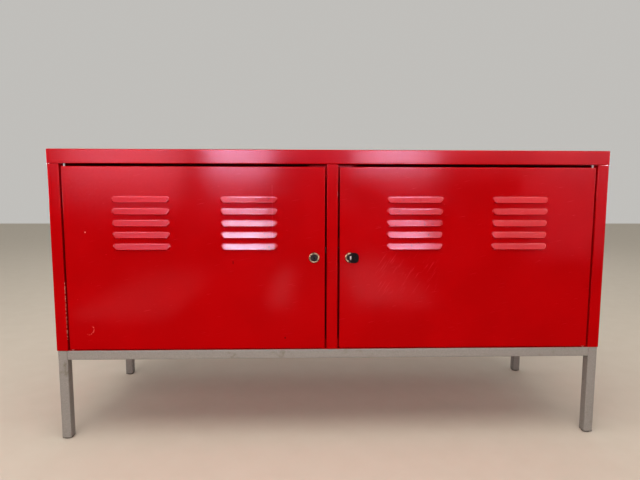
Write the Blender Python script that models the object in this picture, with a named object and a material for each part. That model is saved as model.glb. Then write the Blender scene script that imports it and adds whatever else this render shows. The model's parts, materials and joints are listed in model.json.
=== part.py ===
# Low two-door cabinet of folded sheet steel on a square-tube base frame.
# Metres, +Z up, doors towards -Y. The origin is on the floor, under the middle of the
# whole object's box, which includes the key that stands out in front of the doors.

import math

import bmesh
import bpy
from mathutils import Matrix, Vector

MM = 0.001

# Overall size
WIDTH = 1190 * MM
DEPTH = 400 * MM
HEIGHT = 630 * MM
BASE_HEIGHT = 198.5 * MM  # floor to the top of the base frame

# Sheet metal
SHEET = 0.8 * MM
BEND = 1.6 * MM  # outer radius of a fold
BEND_STEPS = 2
RELIEF = 1.8 * MM  # cut back at both ends of a lip
GAP = 0.3 * MM  # left between pieces that touch
ROUND = 24  # sides of a round piece

# Top cap, side panels, divider, bottom and back
CAP_HEIGHT = 30 * MM
CAP_LIP = 15 * MM
SIDE_INSET = 0.8 * MM  # side panels stand back from the cap's edge
STILE = 24 * MM
STILE_RETURN = 36 * MM
BACK_RETURN = 20 * MM
CENTRE_STILE = 24 * MM
DIVIDER_FLANGE = 15 * MM
FLOOR_RISE = 17 * MM  # inside floor above the base frame
FLOOR_SETBACK = 21 * MM  # front of the raised floor behind the door faces
SILL_SETBACK = 2 * MM
BACK_SEAM = 1 * MM  # half the seam between the two back panels
OUTLET_LENGTH = 70 * MM
OUTLET_HEIGHT = 30 * MM
OUTLET_ABOVE_FLOOR = 60 * MM

# Doors
DOOR_DEPTH = 18 * MM
DOOR_LIP = 10 * MM
HINGE_GAP = 4 * MM
LOCK_GAP = 3.5 * MM
DOOR_TOP_GAP = 5.5 * MM
DOOR_BOTTOM_GAP = 1.6 * MM  # above the sill
HINGE_INSET = 5 * MM  # pivot from the door's hinge edge
HINGE_BEHIND = 6 * MM  # pivot behind the door's face

# Louvres: two columns in each door
LOUVRE_COLUMNS = 2
LOUVRE_ROWS = 5
LOUVRE_SPACING = 227 * MM
LOUVRE_PITCH = 25 * MM
LOUVRE_BELOW_TOP = 61.5 * MM
LOUVRE_LENGTH = 120 * MM
LOUVRE_HEIGHT = 14 * MM
LOUVRE_RISE = 5 * MM
LOUVRE_TAPER = 5 * MM  # how much shorter its lip is at each end
SLIT = 0.2 * MM

# Hinge pegs and their bushes
PEG_RADIUS = 2 * MM
PEG_REACH = 9 * MM
PEG_HEAD_RADIUS = 4 * MM
PEG_HEAD = 2 * MM
PEG_COLLAR_RADIUS = 3.2 * MM
RUNNING = 0.15 * MM  # radial clearance of a turning fit
BUSH_RADIUS = 2.8 * MM
BUSH_FLANGE_RADIUS = 3.3 * MM
BUSH_FLANGE = 1.2 * MM
BUSH_LENGTH = 7 * MM

# Door stop behind the cap's front
STOP_LEFT = 51 * MM
STOP_RIGHT = 51 * MM
STOP_EAR = 11 * MM
STOP_EAR_HEIGHT = 5.5 * MM
STOP_HEIGHT = 26 * MM
STOP_FOOT = 14 * MM
STOP_SHEET = 1.2 * MM
STOP_BEHIND_DOOR = 0.6 * MM

# Cam locks, along their own axis from the door's face: plus is out towards the front
LOCK_INSET = 23.5 * MM  # from the door's lock edge
LOCK_ABOVE_MIDDLE = 3 * MM
LOCK_RADIUS = 9.3 * MM
LOCK_LENGTH = 19 * MM
ROSE_RADIUS = 11.5 * MM
ROSE_FRONT = 2.3 * MM
ROSE_BEVEL = 1.1 * MM
PLUG_HEAD_RADIUS = 7.7 * MM
PLUG_RADIUS = 6 * MM
PLUG_FACE = 1.5 * MM
PLUG_HEAD_BACK = -0.7 * MM
PLUG_SHANK = 7 * MM  # across flats of the square that carries the cam
KEYWAY_WIDTH = 2.4 * MM
KEYWAY_HEIGHT = 8.6 * MM
KEYWAY_DEPTH = 13 * MM
NUT_ACROSS = 23 * MM
NUT_THICKNESS = 3 * MM
CAM_THICKNESS = 2 * MM
CAM_WIDTH = 13 * MM
CAM_REACH = 33 * MM
CAM_HEEL = 8 * MM
CAM_SLOT_CLEARANCE = 1.2 * MM
SCREW_RADIUS = 2 * MM
SCREW_LENGTH = 4.5 * MM
SCREW_HEAD_RADIUS = 5 * MM
SCREW_HEAD = 2.4 * MM

# Folding key in the right lock
KEY_BLADE_THICKNESS = 1.8 * MM
KEY_BLADE_HEIGHT = 8 * MM
KEY_BLADE_DEPTH = 12 * MM
KEY_PIVOT_OUT = 5.1 * MM
KEY_BARREL_RADIUS = 2 * MM
KEY_PIN_RADIUS = 0.9 * MM
KEY_PIN_CLEARANCE = 0.2 * MM
KEY_HEAD_THICKNESS = 3.8 * MM
KEY_HEAD_HEIGHT = 22 * MM
KEY_HEAD_LENGTH = 17.5 * MM
KEY_HEAD_ROUND = 8.5 * MM
KEY_EAR = 2.3 * MM  # how far the ears reach past the pivot
KEY_EAR_HEIGHT = 13 * MM
KEY_PIN_SETBACK = 2 * MM  # from the head's top and bottom edges

# Base frame
TUBE = 20 * MM
TUBE_WALL = 1.2 * MM
TUBE_ROUND = 2 * MM
LEG_INSET = 2 * MM
BACK_LEG_INSET = 6 * MM
FOOT_RADIUS = 9 * MM
FOOT_HEIGHT = 2 * MM
FOOT_EDGE = 0.6 * MM
STEM_RADIUS = 3 * MM
STEM_LENGTH = 21 * MM
LEG_PLUG_FLANGE = 1.2 * MM
LEG_PLUG_LENGTH = 18 * MM

# Shelves
SHELF_ABOVE_LOCK = 20 * MM  # underside of the shelf above the lock's axis
SHELF_THICKNESS = 20 * MM
SHELF_LIP = 8 * MM
SHELF_SIDE_GAP = 2 * MM
SHELF_SETBACK = 25 * MM
SHELF_BACK_GAP = 4 * MM
CLIP_WIDTH = 8 * MM
CLIP_LEDGE = 11 * MM
CLIP_PLATE = 1.5 * MM
CLIP_DROP = 14 * MM
CLIP_NECK = 4 * MM  # top of the hook below the ledge
CLIP_HOOK = 2 * MM
CLIP_HOOK_END = 10 * MM
CLIP_SETBACK = 28.5 * MM
CLIP_FROM_BACK = 12 * MM
SLOT_ROWS = 5
SLOT_PITCH = 25 * MM
SLOT_HEIGHT = 6.5 * MM

# Planes that several pieces share
STAND_OUT = KEY_PIVOT_OUT + KEY_BARREL_RADIUS
FRONT = STAND_OUT - (DEPTH + STAND_OUT) / 2
BACK = FRONT + DEPTH
MIDDLE = (FRONT + BACK) / 2
SHELL_BACK = BACK - SHEET - GAP
SIDE_FACE = WIDTH / 2 - SIDE_INSET
STILE_EDGE = SIDE_FACE - STILE
CAP_BOTTOM = HEIGHT - CAP_HEIGHT
SHELL_TOP = CAP_BOTTOM - GAP
SHELL_BOTTOM = BASE_HEIGHT + GAP
SILL_TOP = SHELL_BOTTOM + SHEET
FLOOR_TOP = BASE_HEIGHT + FLOOR_RISE
DOOR_HINGE_EDGE = STILE_EDGE - HINGE_GAP
DOOR_LOCK_EDGE = CENTRE_STILE / 2 + LOCK_GAP
DOOR_WIDTH = DOOR_HINGE_EDGE - DOOR_LOCK_EDGE
DOOR_TOP = CAP_BOTTOM - DOOR_TOP_GAP
DOOR_BOTTOM = SILL_TOP + DOOR_BOTTOM_GAP
DOOR_HEIGHT = DOOR_TOP - DOOR_BOTTOM
DOOR_MIDDLE = (DOOR_TOP + DOOR_BOTTOM) / 2
HINGE_X = DOOR_HINGE_EDGE - HINGE_INSET
HINGE_Y = FRONT + HINGE_BEHIND
LOCK_X = DOOR_LOCK_EDGE + LOCK_INSET
LOCK_Z = DOOR_MIDDLE + LOCK_ABOVE_MIDDLE
CAM_FRONT = -LOCK_LENGTH - GAP
CAM_BACK = CAM_FRONT - CAM_THICKNESS
SHELF_BOTTOM = LOCK_Z + SHELF_ABOVE_LOCK
LEG_BOTTOM = FOOT_HEIGHT + GAP + LEG_PLUG_FLANGE + GAP
LEG_X = SIDE_FACE - LEG_INSET - TUBE / 2
LEG_FRONT_Y = FRONT + TUBE / 2
LEG_BACK_Y = BACK - BACK_LEG_INSET - TUBE / 2
STOP_Y = FRONT + DOOR_DEPTH + STOP_BEHIND_DOOR

SIDES = {"left": -1, "right": 1}
QUARTER = math.radians(90)
FACING_FRONT = (QUARTER, 0, 0)  # local X right, Y up, Z out towards the front


# Scene and materials


def clear_scene():
    for obj in list(bpy.data.objects):
        bpy.data.objects.remove(obj, do_unlink=True)


def finish(name, colour, metallic, roughness):
    made = bpy.data.materials.new(name)
    made.use_nodes = True
    shader = made.node_tree.nodes["Principled BSDF"]
    shader.inputs["Base Color"].default_value = (*colour, 1)
    shader.inputs["Metallic"].default_value = metallic
    shader.inputs["Roughness"].default_value = roughness
    made.diffuse_color = (*colour, 1)
    return made


# Objects


def world_place(obj):
    return obj.location + world_place(obj.parent) if obj.parent else obj.location.copy()


def place(obj, location, rotation=(0, 0, 0), parent=None):
    obj.parent = parent
    obj.location = Vector(location) - (world_place(parent) if parent else Vector())
    obj.rotation_euler = rotation
    return obj


def pivot(name, location, parent=None):
    made = bpy.data.objects.new(name, None)
    made.empty_display_size = 20 * MM
    bpy.context.collection.objects.link(made)
    return place(made, location, parent=parent)


def solid(name, bm, material, smooth=False):
    bm.normal_update()
    mesh = bpy.data.meshes.new(name)
    bm.to_mesh(mesh)
    bm.free()
    if smooth:
        mesh.shade_smooth()
        mesh.set_sharp_from_angle(angle=math.radians(35))
    if material:
        mesh.materials.append(material)
    made = bpy.data.objects.new(name, mesh)
    bpy.context.collection.objects.link(made)
    return made


def closed(bm):
    bmesh.ops.recalc_face_normals(bm, faces=bm.faces)
    return bm


def combine(target, operand, operation):
    operand.hide_render = True
    operand.display_type = "WIRE"
    made = target.modifiers.new(operand.name, "BOOLEAN")
    made.operation = operation
    made.solver = "EXACT"
    made.object = operand


def cut(target, name, bm):
    combine(target, solid(name, closed(bm), None), "DIFFERENCE")


# Shapes


def add_box(bm, low, high):
    low, high = Vector(low), Vector(high)
    matrix = Matrix.Translation((low + high) / 2) @ Matrix.Diagonal((*(high - low), 1))
    bmesh.ops.create_cube(bm, size=1, matrix=matrix)


def add_rod(bm, radius, start, end):
    start, end = Vector(start), Vector(end)
    along = end - start
    matrix = Matrix.Translation((start + end) / 2) @ along.to_track_quat("Z", "Y").to_matrix().to_4x4()
    bmesh.ops.create_cone(
        bm, cap_ends=True, segments=ROUND, radius1=radius, radius2=radius, depth=along.length, matrix=matrix
    )


def circle(radius):
    turns = (2 * math.pi * (i + 0.5) / ROUND for i in range(ROUND))
    return [(radius * math.cos(a), radius * math.sin(a)) for a in turns]


def hexagon(across):
    points = []
    for x, y in circle(1):
        off_flat = (math.atan2(y, x) + math.pi / 6) % (math.pi / 3) - math.pi / 6
        reach = across / 2 / math.cos(off_flat)
        points.append((reach * x, reach * y))
    return points


def rounded_square(side, radius):
    steps = ROUND // 4
    centre = side / 2 - radius
    points = []
    for quarter in range(4):
        start = quarter * QUARTER
        cx = centre * math.copysign(1, math.cos(start + QUARTER / 2))
        cy = centre * math.copysign(1, math.sin(start + QUARTER / 2))
        for step in range(steps):
            a = start + QUARTER * step / (steps - 1)
            points.append((cx + radius * math.cos(a), cy + radius * math.sin(a)))
    return points


def arc(centre, radius, start, end, steps):
    turns = (start + (end - start) * i / steps for i in range(steps + 1))
    return [(centre[0] + radius * math.cos(a), centre[1] + radius * math.sin(a)) for a in turns]


def loft(loops, hollow=False):
    # Loops are (outline, height) pairs. A hollow loft joins its last loop back to its first.
    bm = bmesh.new()
    rings = [[bm.verts.new((x, y, z)) for x, y in outline] for outline, z in loops]
    pairs = list(zip(rings, rings[1:]))
    if hollow:
        pairs.append((rings[-1], rings[0]))
    else:
        bm.faces.new(rings[0])
        bm.faces.new(rings[-1])
    for low, high in pairs:
        for i in range(len(low)):
            j = (i + 1) % len(low)
            bm.faces.new((low[i], low[j], high[j], high[i]))
    return closed(bm)


def turned(profile, hollow=False):
    return loft([(circle(radius), height) for radius, height in profile], hollow)


def prism(outline, low, high):
    return loft([(outline, low), (outline, high)])


def folded_sheet(name, points, faces, material, thickness=SHEET):
    # The faces are the sheet's outer skin, and every edge where two of them meet at an angle is a fold.
    bm = bmesh.new()
    corners = [bm.verts.new(point) for point in points]
    for face in faces:
        bm.faces.new([corners[i] for i in face])
    bm.normal_update()
    folds = [e for e in bm.edges if len(e.link_faces) == 2 and e.calc_face_angle() > math.radians(20)]
    bmesh.ops.bevel(bm, geom=folds, offset=BEND, segments=BEND_STEPS, profile=0.5, affect="EDGES")
    made = solid(name, bm, material)
    wall = made.modifiers.new("sheet", "SOLIDIFY")
    wall.thickness = thickness
    wall.offset = -1
    wall.use_even_offset = True
    wall.use_quality_normals = True
    return made


def folded_pan(name, size, depth, lips, material, mitred=False):
    # A tray upside down: face at Z 0, walls down to -depth, and lips turned in, given for
    # the sides at -Y, +X, +Y and -X.
    half_x, half_y = size[0] / 2, size[1] / 2
    signs = ((-1, -1), (1, -1), (1, 1), (-1, 1))
    points = [Vector((sx * half_x, sy * half_y, 0)) for sx, sy in signs]
    points += [p - Vector((0, 0, depth)) for p in points]
    faces = [(0, 1, 2, 3)]
    for i, lip in enumerate(lips):
        j = (i + 1) % 4
        if not lip:
            faces.append((i, 4 + i, 4 + j, j))
            continue
        along = (points[j] - points[i]).normalized()
        inward = Vector((-along.y, along.x, 0))
        first = points[4 + i] + along * RELIEF
        last = points[4 + j] - along * RELIEF
        mitre = along * lip if mitred else Vector()
        n = len(points)
        points += [first, last, first + inward * lip + mitre, last + inward * lip - mitre]
        faces.append((i, 4 + i, n, n + 1, 4 + j, j))
        faces.append((n, n + 2, n + 3, n + 1))
    return folded_sheet(name, points, faces, material)


def folded_strip(name, section, length, material):
    # A section in XY, folded along Z.
    points = [(x, y, z) for z in (-length / 2, length / 2) for x, y in section]
    n = len(section)
    faces = [(i, i + 1, n + i + 1, n + i) for i in range(n - 1)]
    return folded_sheet(name, points, faces, material)


def square_tube(name, length, material):
    outer = rounded_square(TUBE, TUBE_ROUND)
    inner = rounded_square(TUBE - 2 * TUBE_WALL, TUBE_ROUND - TUBE_WALL)
    loops = [(outer, 0), (outer, length), (inner, length), (inner, 0)]
    return solid(name, loft(loops, hollow=True), material, smooth=True)


# Carcass


def shelf_slot_places():
    # Y of each column of slots, and Z of each slot's lower edge.
    columns = (FRONT + CLIP_SETBACK, SHELL_BACK - CLIP_FROM_BACK)
    hook_bottom = SHELF_BOTTOM - GAP - CLIP_NECK - CLIP_HOOK - GAP
    middle_row = (SLOT_ROWS - 1) / 2
    rows = [hook_bottom + (row - middle_row) * SLOT_PITCH for row in range(SLOT_ROWS)]
    return columns, rows


def add_shelf_slots(bm, low_x, high_x):
    half = CLIP_WIDTH / 2 + GAP
    columns, rows = shelf_slot_places()
    for y in columns:
        for z in rows:
            add_box(bm, (low_x, y - half, z), (high_x, y + half, z + SLOT_HEIGHT))


def top_panel(red):
    cap = folded_pan("top_panel", (WIDTH, DEPTH), CAP_HEIGHT, [CAP_LIP] * 4, red, mitred=True)
    place(cap, (0, MIDDLE, HEIGHT))
    holes = bmesh.new()
    for side in SIDES.values():
        x = side * HINGE_X
        low, high = CAP_BOTTOM - SHEET, CAP_BOTTOM + 2 * SHEET
        add_rod(holes, PEG_RADIUS + GAP, (x, HINGE_Y, low), (x, HINGE_Y, high))
    cut(cap, "top_panel_peg_holes", holes)


def side_panel(name, side, red):
    height, depth = SHELL_TOP - SHELL_BOTTOM, SHELL_BACK - FRONT
    panel = folded_pan(name, (height, depth), STILE, (STILE_RETURN, 0, BACK_RETURN, 0), red)
    middle = (side * SIDE_FACE, FRONT + depth / 2, SHELL_BOTTOM + height / 2)
    place(panel, middle, (0, side * QUARTER, 0))
    slots = bmesh.new()
    edge, reach = side * STILE_EDGE, 2 * SHEET
    add_shelf_slots(slots, edge - reach, edge + reach)
    cut(panel, name + "_slots", slots)


def bottom_panel(red):
    # Front sill under the doors, step up, floor, and a turned-in back edge.
    section = [
        (FRONT + SILL_SETBACK, SHELL_BOTTOM),
        (FRONT + FLOOR_SETBACK, SHELL_BOTTOM),
        (FRONT + FLOOR_SETBACK, FLOOR_TOP - SHEET),
        (SHELL_BACK - SHEET, FLOOR_TOP - SHEET),
        (SHELL_BACK - SHEET, SILL_TOP),
        (SHELL_BACK - DIVIDER_FLANGE, SILL_TOP),
    ]
    floor = folded_strip("bottom_panel", section, 2 * (STILE_EDGE - GAP), red)
    place(floor, (0, 0, 0), (QUARTER, 0, QUARTER))
    holes = bmesh.new()
    for side in SIDES.values():
        x = side * HINGE_X
        low, high = SHELL_BOTTOM - SHEET, SILL_TOP + SHEET
        add_rod(holes, PEG_RADIUS + GAP, (x, HINGE_Y, low), (x, HINGE_Y, high))
    cut(floor, "bottom_panel_peg_holes", holes)


def divider(red):
    half = CENTRE_STILE / 2
    flange = half + DIVIDER_FLANGE
    back = SHELL_BACK - SHEET
    section = [(-flange, back), (-half, back), (-half, FRONT), (half, FRONT), (half, back), (flange, back)]
    low, high = SILL_TOP + GAP, SHELL_TOP
    post = folded_strip("divider", section, high - low, red)
    place(post, (0, 0, (low + high) / 2))
    cuts = bmesh.new()
    past = flange + SHEET
    # Round the floor, and round the door stop
    add_box(cuts, (-past, FRONT + FLOOR_SETBACK - SHEET - GAP, low - SHEET), (past, BACK, FLOOR_TOP + GAP))
    stop_top, stop_low = high + SHEET, SHELL_TOP - STOP_HEIGHT - GAP
    stop_back = STOP_Y + STOP_FOOT + GAP
    add_box(cuts, (-past, STOP_Y - GAP, stop_low), (past, stop_back, stop_top))
    # Slots that the lock cams turn into: a cam reaches the wall on its way up to level
    wall = LOCK_X - half
    drop = math.sqrt(CAM_REACH**2 - (wall - SHEET) ** 2) + CAM_WIDTH / 2
    clear = CAM_SLOT_CLEARANCE
    slot_low = (-past, FRONT - CAM_FRONT - clear, LOCK_Z - drop - clear)
    slot_high = (past, FRONT - CAM_BACK + clear, LOCK_Z + CAM_WIDTH / 2 + clear)
    add_box(cuts, slot_low, slot_high)
    add_shelf_slots(cuts, -half - SHEET, half + SHEET)
    cut(post, "divider_cuts", cuts)


def back_panel(name, side, red):
    near, far = sorted((side * BACK_SEAM, side * (SIDE_FACE - SHEET)))
    bm = bmesh.new()
    add_box(bm, (near, BACK - SHEET, SHELL_BOTTOM), (far, BACK, SHELL_TOP))
    panel = solid(name, closed(bm), red)
    middle, z = (near + far) / 2, FLOOR_TOP + OUTLET_ABOVE_FLOOR
    reach = (OUTLET_LENGTH - OUTLET_HEIGHT) / 2
    outline = arc((reach, 0), OUTLET_HEIGHT / 2, -QUARTER, QUARTER, ROUND // 2)
    outline += arc((-reach, 0), OUTLET_HEIGHT / 2, QUARTER, 3 * QUARTER, ROUND // 2)
    hole = solid(name + "_outlet", prism(outline, -2 * SHEET, 2 * SHEET), None)
    place(hole, (middle, BACK, z), FACING_FRONT)
    combine(panel, hole, "DIFFERENCE")


def door_stop(red):
    # A hanging plate with one ear cut back, and a foot that is fixed under the cap's lip.
    top, low = SHELL_TOP, SHELL_TOP - STOP_HEIGHT
    y, foot = STOP_Y, STOP_Y + STOP_FOOT
    points = [
        (-STOP_LEFT, y, top),
        (-STOP_LEFT, y, low),
        (STOP_RIGHT - STOP_EAR, y, low),
        (STOP_RIGHT - STOP_EAR, y, top - STOP_EAR_HEIGHT),
        (STOP_RIGHT, y, top),
        (STOP_RIGHT, foot, top),
        (-STOP_LEFT, foot, top),
    ]
    folded_sheet("door_stop_bracket", points, [(0, 1, 2, 3, 4), (0, 4, 5, 6)], red, STOP_SHEET)


# Base frame


def base_frame(grey, plastic):
    inner_x, wall = LEG_X - TUBE / 2 - GAP, TUBE / 2 + GAP
    z = BASE_HEIGHT - TUBE / 2
    front = square_tube("front_rail", 2 * inner_x, grey)
    place(front, (-inner_x, LEG_FRONT_Y, z), (0, QUARTER, 0))
    holes = bmesh.new()
    for side in SIDES.values():
        x = side * HINGE_X
        add_rod(holes, PEG_RADIUS + GAP, (x, HINGE_Y, z), (x, HINGE_Y, BASE_HEIGHT + TUBE_WALL))
    cut(front, "front_rail_peg_holes", holes)
    back = square_tube("back_rail", 2 * inner_x, grey)
    place(back, (-inner_x, LEG_BACK_Y, z), (0, QUARTER, 0))
    for name, side in SIDES.items():
        rail = square_tube(name + "_rail", LEG_BACK_Y - LEG_FRONT_Y - 2 * wall, grey)
        place(rail, (side * LEG_X, LEG_FRONT_Y + wall, z), (-QUARTER, 0, 0))
        for end, y in (("front", LEG_FRONT_Y), ("back", LEG_BACK_Y)):
            corner = f"{end}_{name}"
            leg = square_tube(corner + "_leg", BASE_HEIGHT - LEG_BOTTOM, grey)
            place(leg, (side * LEG_X, y, LEG_BOTTOM))
            leg_plug(corner, (side * LEG_X, y), plastic)
            foot(corner, (side * LEG_X, y), plastic)


def leg_plug(corner, at, plastic):
    flange = rounded_square(TUBE, TUBE_ROUND)
    insert = rounded_square(TUBE - 2 * TUBE_WALL - 2 * GAP, TUBE_ROUND - TUBE_WALL)
    bore = circle(STEM_RADIUS + GAP)
    top = LEG_PLUG_FLANGE + LEG_PLUG_LENGTH
    loops = [(flange, 0), (flange, LEG_PLUG_FLANGE), (insert, LEG_PLUG_FLANGE)]
    loops += [(insert, top), (bore, top), (bore, 0)]
    plug = solid(corner + "_leg_plug", loft(loops, hollow=True), plastic)
    place(plug, (*at, FOOT_HEIGHT + GAP))


def foot(corner, at, plastic):
    profile = [
        (FOOT_RADIUS - FOOT_EDGE, 0),
        (FOOT_RADIUS, FOOT_EDGE),
        (FOOT_RADIUS, FOOT_HEIGHT - FOOT_EDGE),
        (FOOT_RADIUS - FOOT_EDGE, FOOT_HEIGHT),
        (STEM_RADIUS, FOOT_HEIGHT),
        (STEM_RADIUS, FOOT_HEIGHT + STEM_LENGTH),
    ]
    place(solid(corner + "_foot", turned(profile), plastic, smooth=True), (*at, 0))


# Doors


def add_louvre(bm, x, low, height, rise, length, taper, base):
    # A wedge whose lip stands out at its lower edge. The base lies at Z base, inside the sheet.
    run = height * (1 - base / rise)
    half, lip = length / 2, length / 2 - taper
    points = [(-half, run, base), (half, run, base), (half, 0, base), (-half, 0, base)]
    points += [(lip, 0, rise), (-lip, 0, rise)]
    v = [bm.verts.new((x + px, low + py, pz)) for px, py, pz in points]
    for face in ((0, 1, 2, 3), (0, 1, 4, 5), (2, 3, 5, 4), (1, 2, 4), (3, 0, 5)):
        bm.faces.new([v[i] for i in face])


def louvres(door, name, middle, parent):
    # Hoods are joined on, then their hollows are cut through the sheet and open downwards.
    hoods, hollows = bmesh.new(), bmesh.new()
    slope = math.atan2(LOUVRE_RISE, LOUVRE_HEIGHT)
    inner_rise = LOUVRE_RISE - SHEET / math.cos(slope)
    inner_height = inner_rise / math.tan(slope)
    for column in range(LOUVRE_COLUMNS):
        x = (column - (LOUVRE_COLUMNS - 1) / 2) * LOUVRE_SPACING
        for row in range(LOUVRE_ROWS):
            low = DOOR_HEIGHT / 2 - LOUVRE_BELOW_TOP - LOUVRE_HEIGHT - row * LOUVRE_PITCH
            add_louvre(
                hoods, x, low, LOUVRE_HEIGHT, LOUVRE_RISE, LOUVRE_LENGTH, LOUVRE_TAPER, -SHEET / 2
            )
            add_louvre(
                hollows,
                x,
                low - SLIT,
                inner_height,
                inner_rise,
                LOUVRE_LENGTH - 2 * SHEET,
                LOUVRE_TAPER,
                -2 * SHEET,
            )
    for shape, bm, operation in (("hoods", hoods, "UNION"), ("hollows", hollows, "DIFFERENCE")):
        operand = solid(f"{name}_{shape}", closed(bm), None)
        place(operand, middle, FACING_FRONT, parent)
        combine(door, operand, operation)


def door(side_name, side, red, nylon):
    name = side_name + "_door"
    hinge = pivot(name + "_hinge", (side * HINGE_X, HINGE_Y, DOOR_MIDDLE))
    middle = (side * (DOOR_HINGE_EDGE + DOOR_LOCK_EDGE) / 2, FRONT, DOOR_MIDDLE)
    size = (DOOR_WIDTH, DOOR_HEIGHT)
    leaf = folded_pan(name, size, DOOR_DEPTH, [DOOR_LIP] * 4, red, mitred=True)
    place(leaf, middle, FACING_FRONT, hinge)
    louvres(leaf, name, middle, hinge)
    holes = bmesh.new()
    x, y, wall = side * HINGE_X, HINGE_Y, 2 * SHEET
    for z in (DOOR_TOP, DOOR_BOTTOM):
        add_rod(holes, BUSH_RADIUS + GAP, (x, y, z - wall), (x, y, z + wall))
    lock_x = side * LOCK_X
    add_rod(holes, LOCK_RADIUS + GAP, (lock_x, FRONT - wall, LOCK_Z), (lock_x, FRONT + wall, LOCK_Z))
    cut(leaf, name + "_holes", holes)
    hinge_pegs(side_name, side, nylon)
    for end, z, turn in (("upper", DOOR_TOP, 2 * QUARTER), ("lower", DOOR_BOTTOM, 0)):
        bush = solid(f"{side_name}_{end}_hinge_bush", hinge_bush(), nylon, smooth=True)
        place(bush, (x, y, z), (turn, 0, 0), hinge)
    return hinge


def hinge_bush():
    # Flanged on the inside of the door's edge wall.
    bore, seat = PEG_RADIUS + RUNNING, SHEET + GAP
    profile = [
        (bore, 0),
        (BUSH_RADIUS, 0),
        (BUSH_RADIUS, seat),
        (BUSH_FLANGE_RADIUS, seat),
        (BUSH_FLANGE_RADIUS, seat + BUSH_FLANGE),
        (BUSH_RADIUS, seat + BUSH_FLANGE),
        (BUSH_RADIUS, BUSH_LENGTH),
        (bore, BUSH_LENGTH),
    ]
    return turned(profile, hollow=True)


def hinge_pegs(side_name, side, nylon):
    # The upper peg hangs by its head in the cap's lip. The lower one stands in the sill and
    # the front rail, and its collar carries the door.
    seat = CAP_BOTTOM + SHEET + GAP
    upper = [
        (PEG_RADIUS, DOOR_TOP - PEG_REACH),
        (PEG_RADIUS, seat),
        (PEG_HEAD_RADIUS, seat),
        (PEG_HEAD_RADIUS, seat + PEG_HEAD),
    ]
    lower = [
        (PEG_RADIUS, BASE_HEIGHT - PEG_REACH),
        (PEG_RADIUS, SILL_TOP + GAP),
        (PEG_COLLAR_RADIUS, SILL_TOP + GAP),
        (PEG_COLLAR_RADIUS, DOOR_BOTTOM - GAP),
        (PEG_RADIUS, DOOR_BOTTOM - GAP),
        (PEG_RADIUS, DOOR_BOTTOM + PEG_REACH),
    ]
    for end, profile in (("upper", upper), ("lower", lower)):
        peg = solid(f"{side_name}_{end}_hinge_peg", turned(profile), nylon, smooth=True)
        place(peg, (side * HINGE_X, HINGE_Y, 0))


# Locks and key


def lock(side_name, side, hinge, chrome, steel):
    axis = (side * LOCK_X, FRONT, LOCK_Z)
    turn = pivot(side_name + "_lock_turn", axis, hinge)
    bore = PLUG_RADIUS + GAP
    counterbore = PLUG_HEAD_RADIUS + GAP
    shoulder = PLUG_HEAD_BACK - GAP
    housing = [
        (bore, -LOCK_LENGTH),
        (LOCK_RADIUS, -LOCK_LENGTH),
        (LOCK_RADIUS, GAP),
        (ROSE_RADIUS, GAP),
        (ROSE_RADIUS, ROSE_FRONT - ROSE_BEVEL),
        (ROSE_RADIUS - ROSE_BEVEL, ROSE_FRONT),
        (counterbore, ROSE_FRONT),
        (counterbore, shoulder),
        (bore, shoulder),
    ]
    body = solid(side_name + "_lock_housing", turned(housing, hollow=True), chrome, smooth=True)
    place(body, axis, FACING_FRONT, hinge)
    nut_front = -SHEET - GAP
    nut_back = nut_front - NUT_THICKNESS
    outer, inner = hexagon(NUT_ACROSS), circle(LOCK_RADIUS + GAP)
    loops = [(outer, nut_back), (outer, nut_front), (inner, nut_front), (inner, nut_back)]
    place(solid(side_name + "_lock_nut", loft(loops, hollow=True), steel), axis, FACING_FRONT, hinge)
    place(lock_plug(side_name, axis, turn, chrome), axis, FACING_FRONT, turn)
    place(lock_cam(side_name, axis, turn, steel), axis, FACING_FRONT, turn)
    seat = CAM_BACK - GAP
    screw = [
        (SCREW_HEAD_RADIUS, seat - SCREW_HEAD),
        (SCREW_HEAD_RADIUS, seat),
        (SCREW_RADIUS, seat),
        (SCREW_RADIUS, seat + SCREW_LENGTH),
    ]
    place(solid(side_name + "_cam_screw", turned(screw), steel, smooth=True), axis, FACING_FRONT, turn)
    return turn


def lock_plug(side_name, axis, turn, chrome):
    square = rounded_square(PLUG_SHANK, GAP)
    shank_end = CAM_BACK + GAP
    bore = circle(SCREW_RADIUS + GAP)
    bore_end = CAM_BACK + SCREW_LENGTH + GAP
    loops = [
        (circle(PLUG_HEAD_RADIUS), PLUG_FACE),
        (circle(PLUG_HEAD_RADIUS), PLUG_HEAD_BACK),
        (circle(PLUG_RADIUS), PLUG_HEAD_BACK),
        (circle(PLUG_RADIUS), CAM_FRONT + GAP),
        (square, CAM_FRONT + GAP),
        (square, shank_end),
        (bore, shank_end),
        (bore, bore_end),
    ]
    plug = solid(side_name + "_lock_plug", loft(loops), chrome, smooth=True)
    keyway = bmesh.new()
    half_x, half_y = KEYWAY_WIDTH / 2, KEYWAY_HEIGHT / 2
    add_box(keyway, (-half_x, -half_y, -KEYWAY_DEPTH), (half_x, half_y, ROSE_FRONT))
    operand = solid(side_name + "_keyway", closed(keyway), None)
    place(operand, axis, FACING_FRONT, turn)
    combine(plug, operand, "DIFFERENCE")
    return plug


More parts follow.
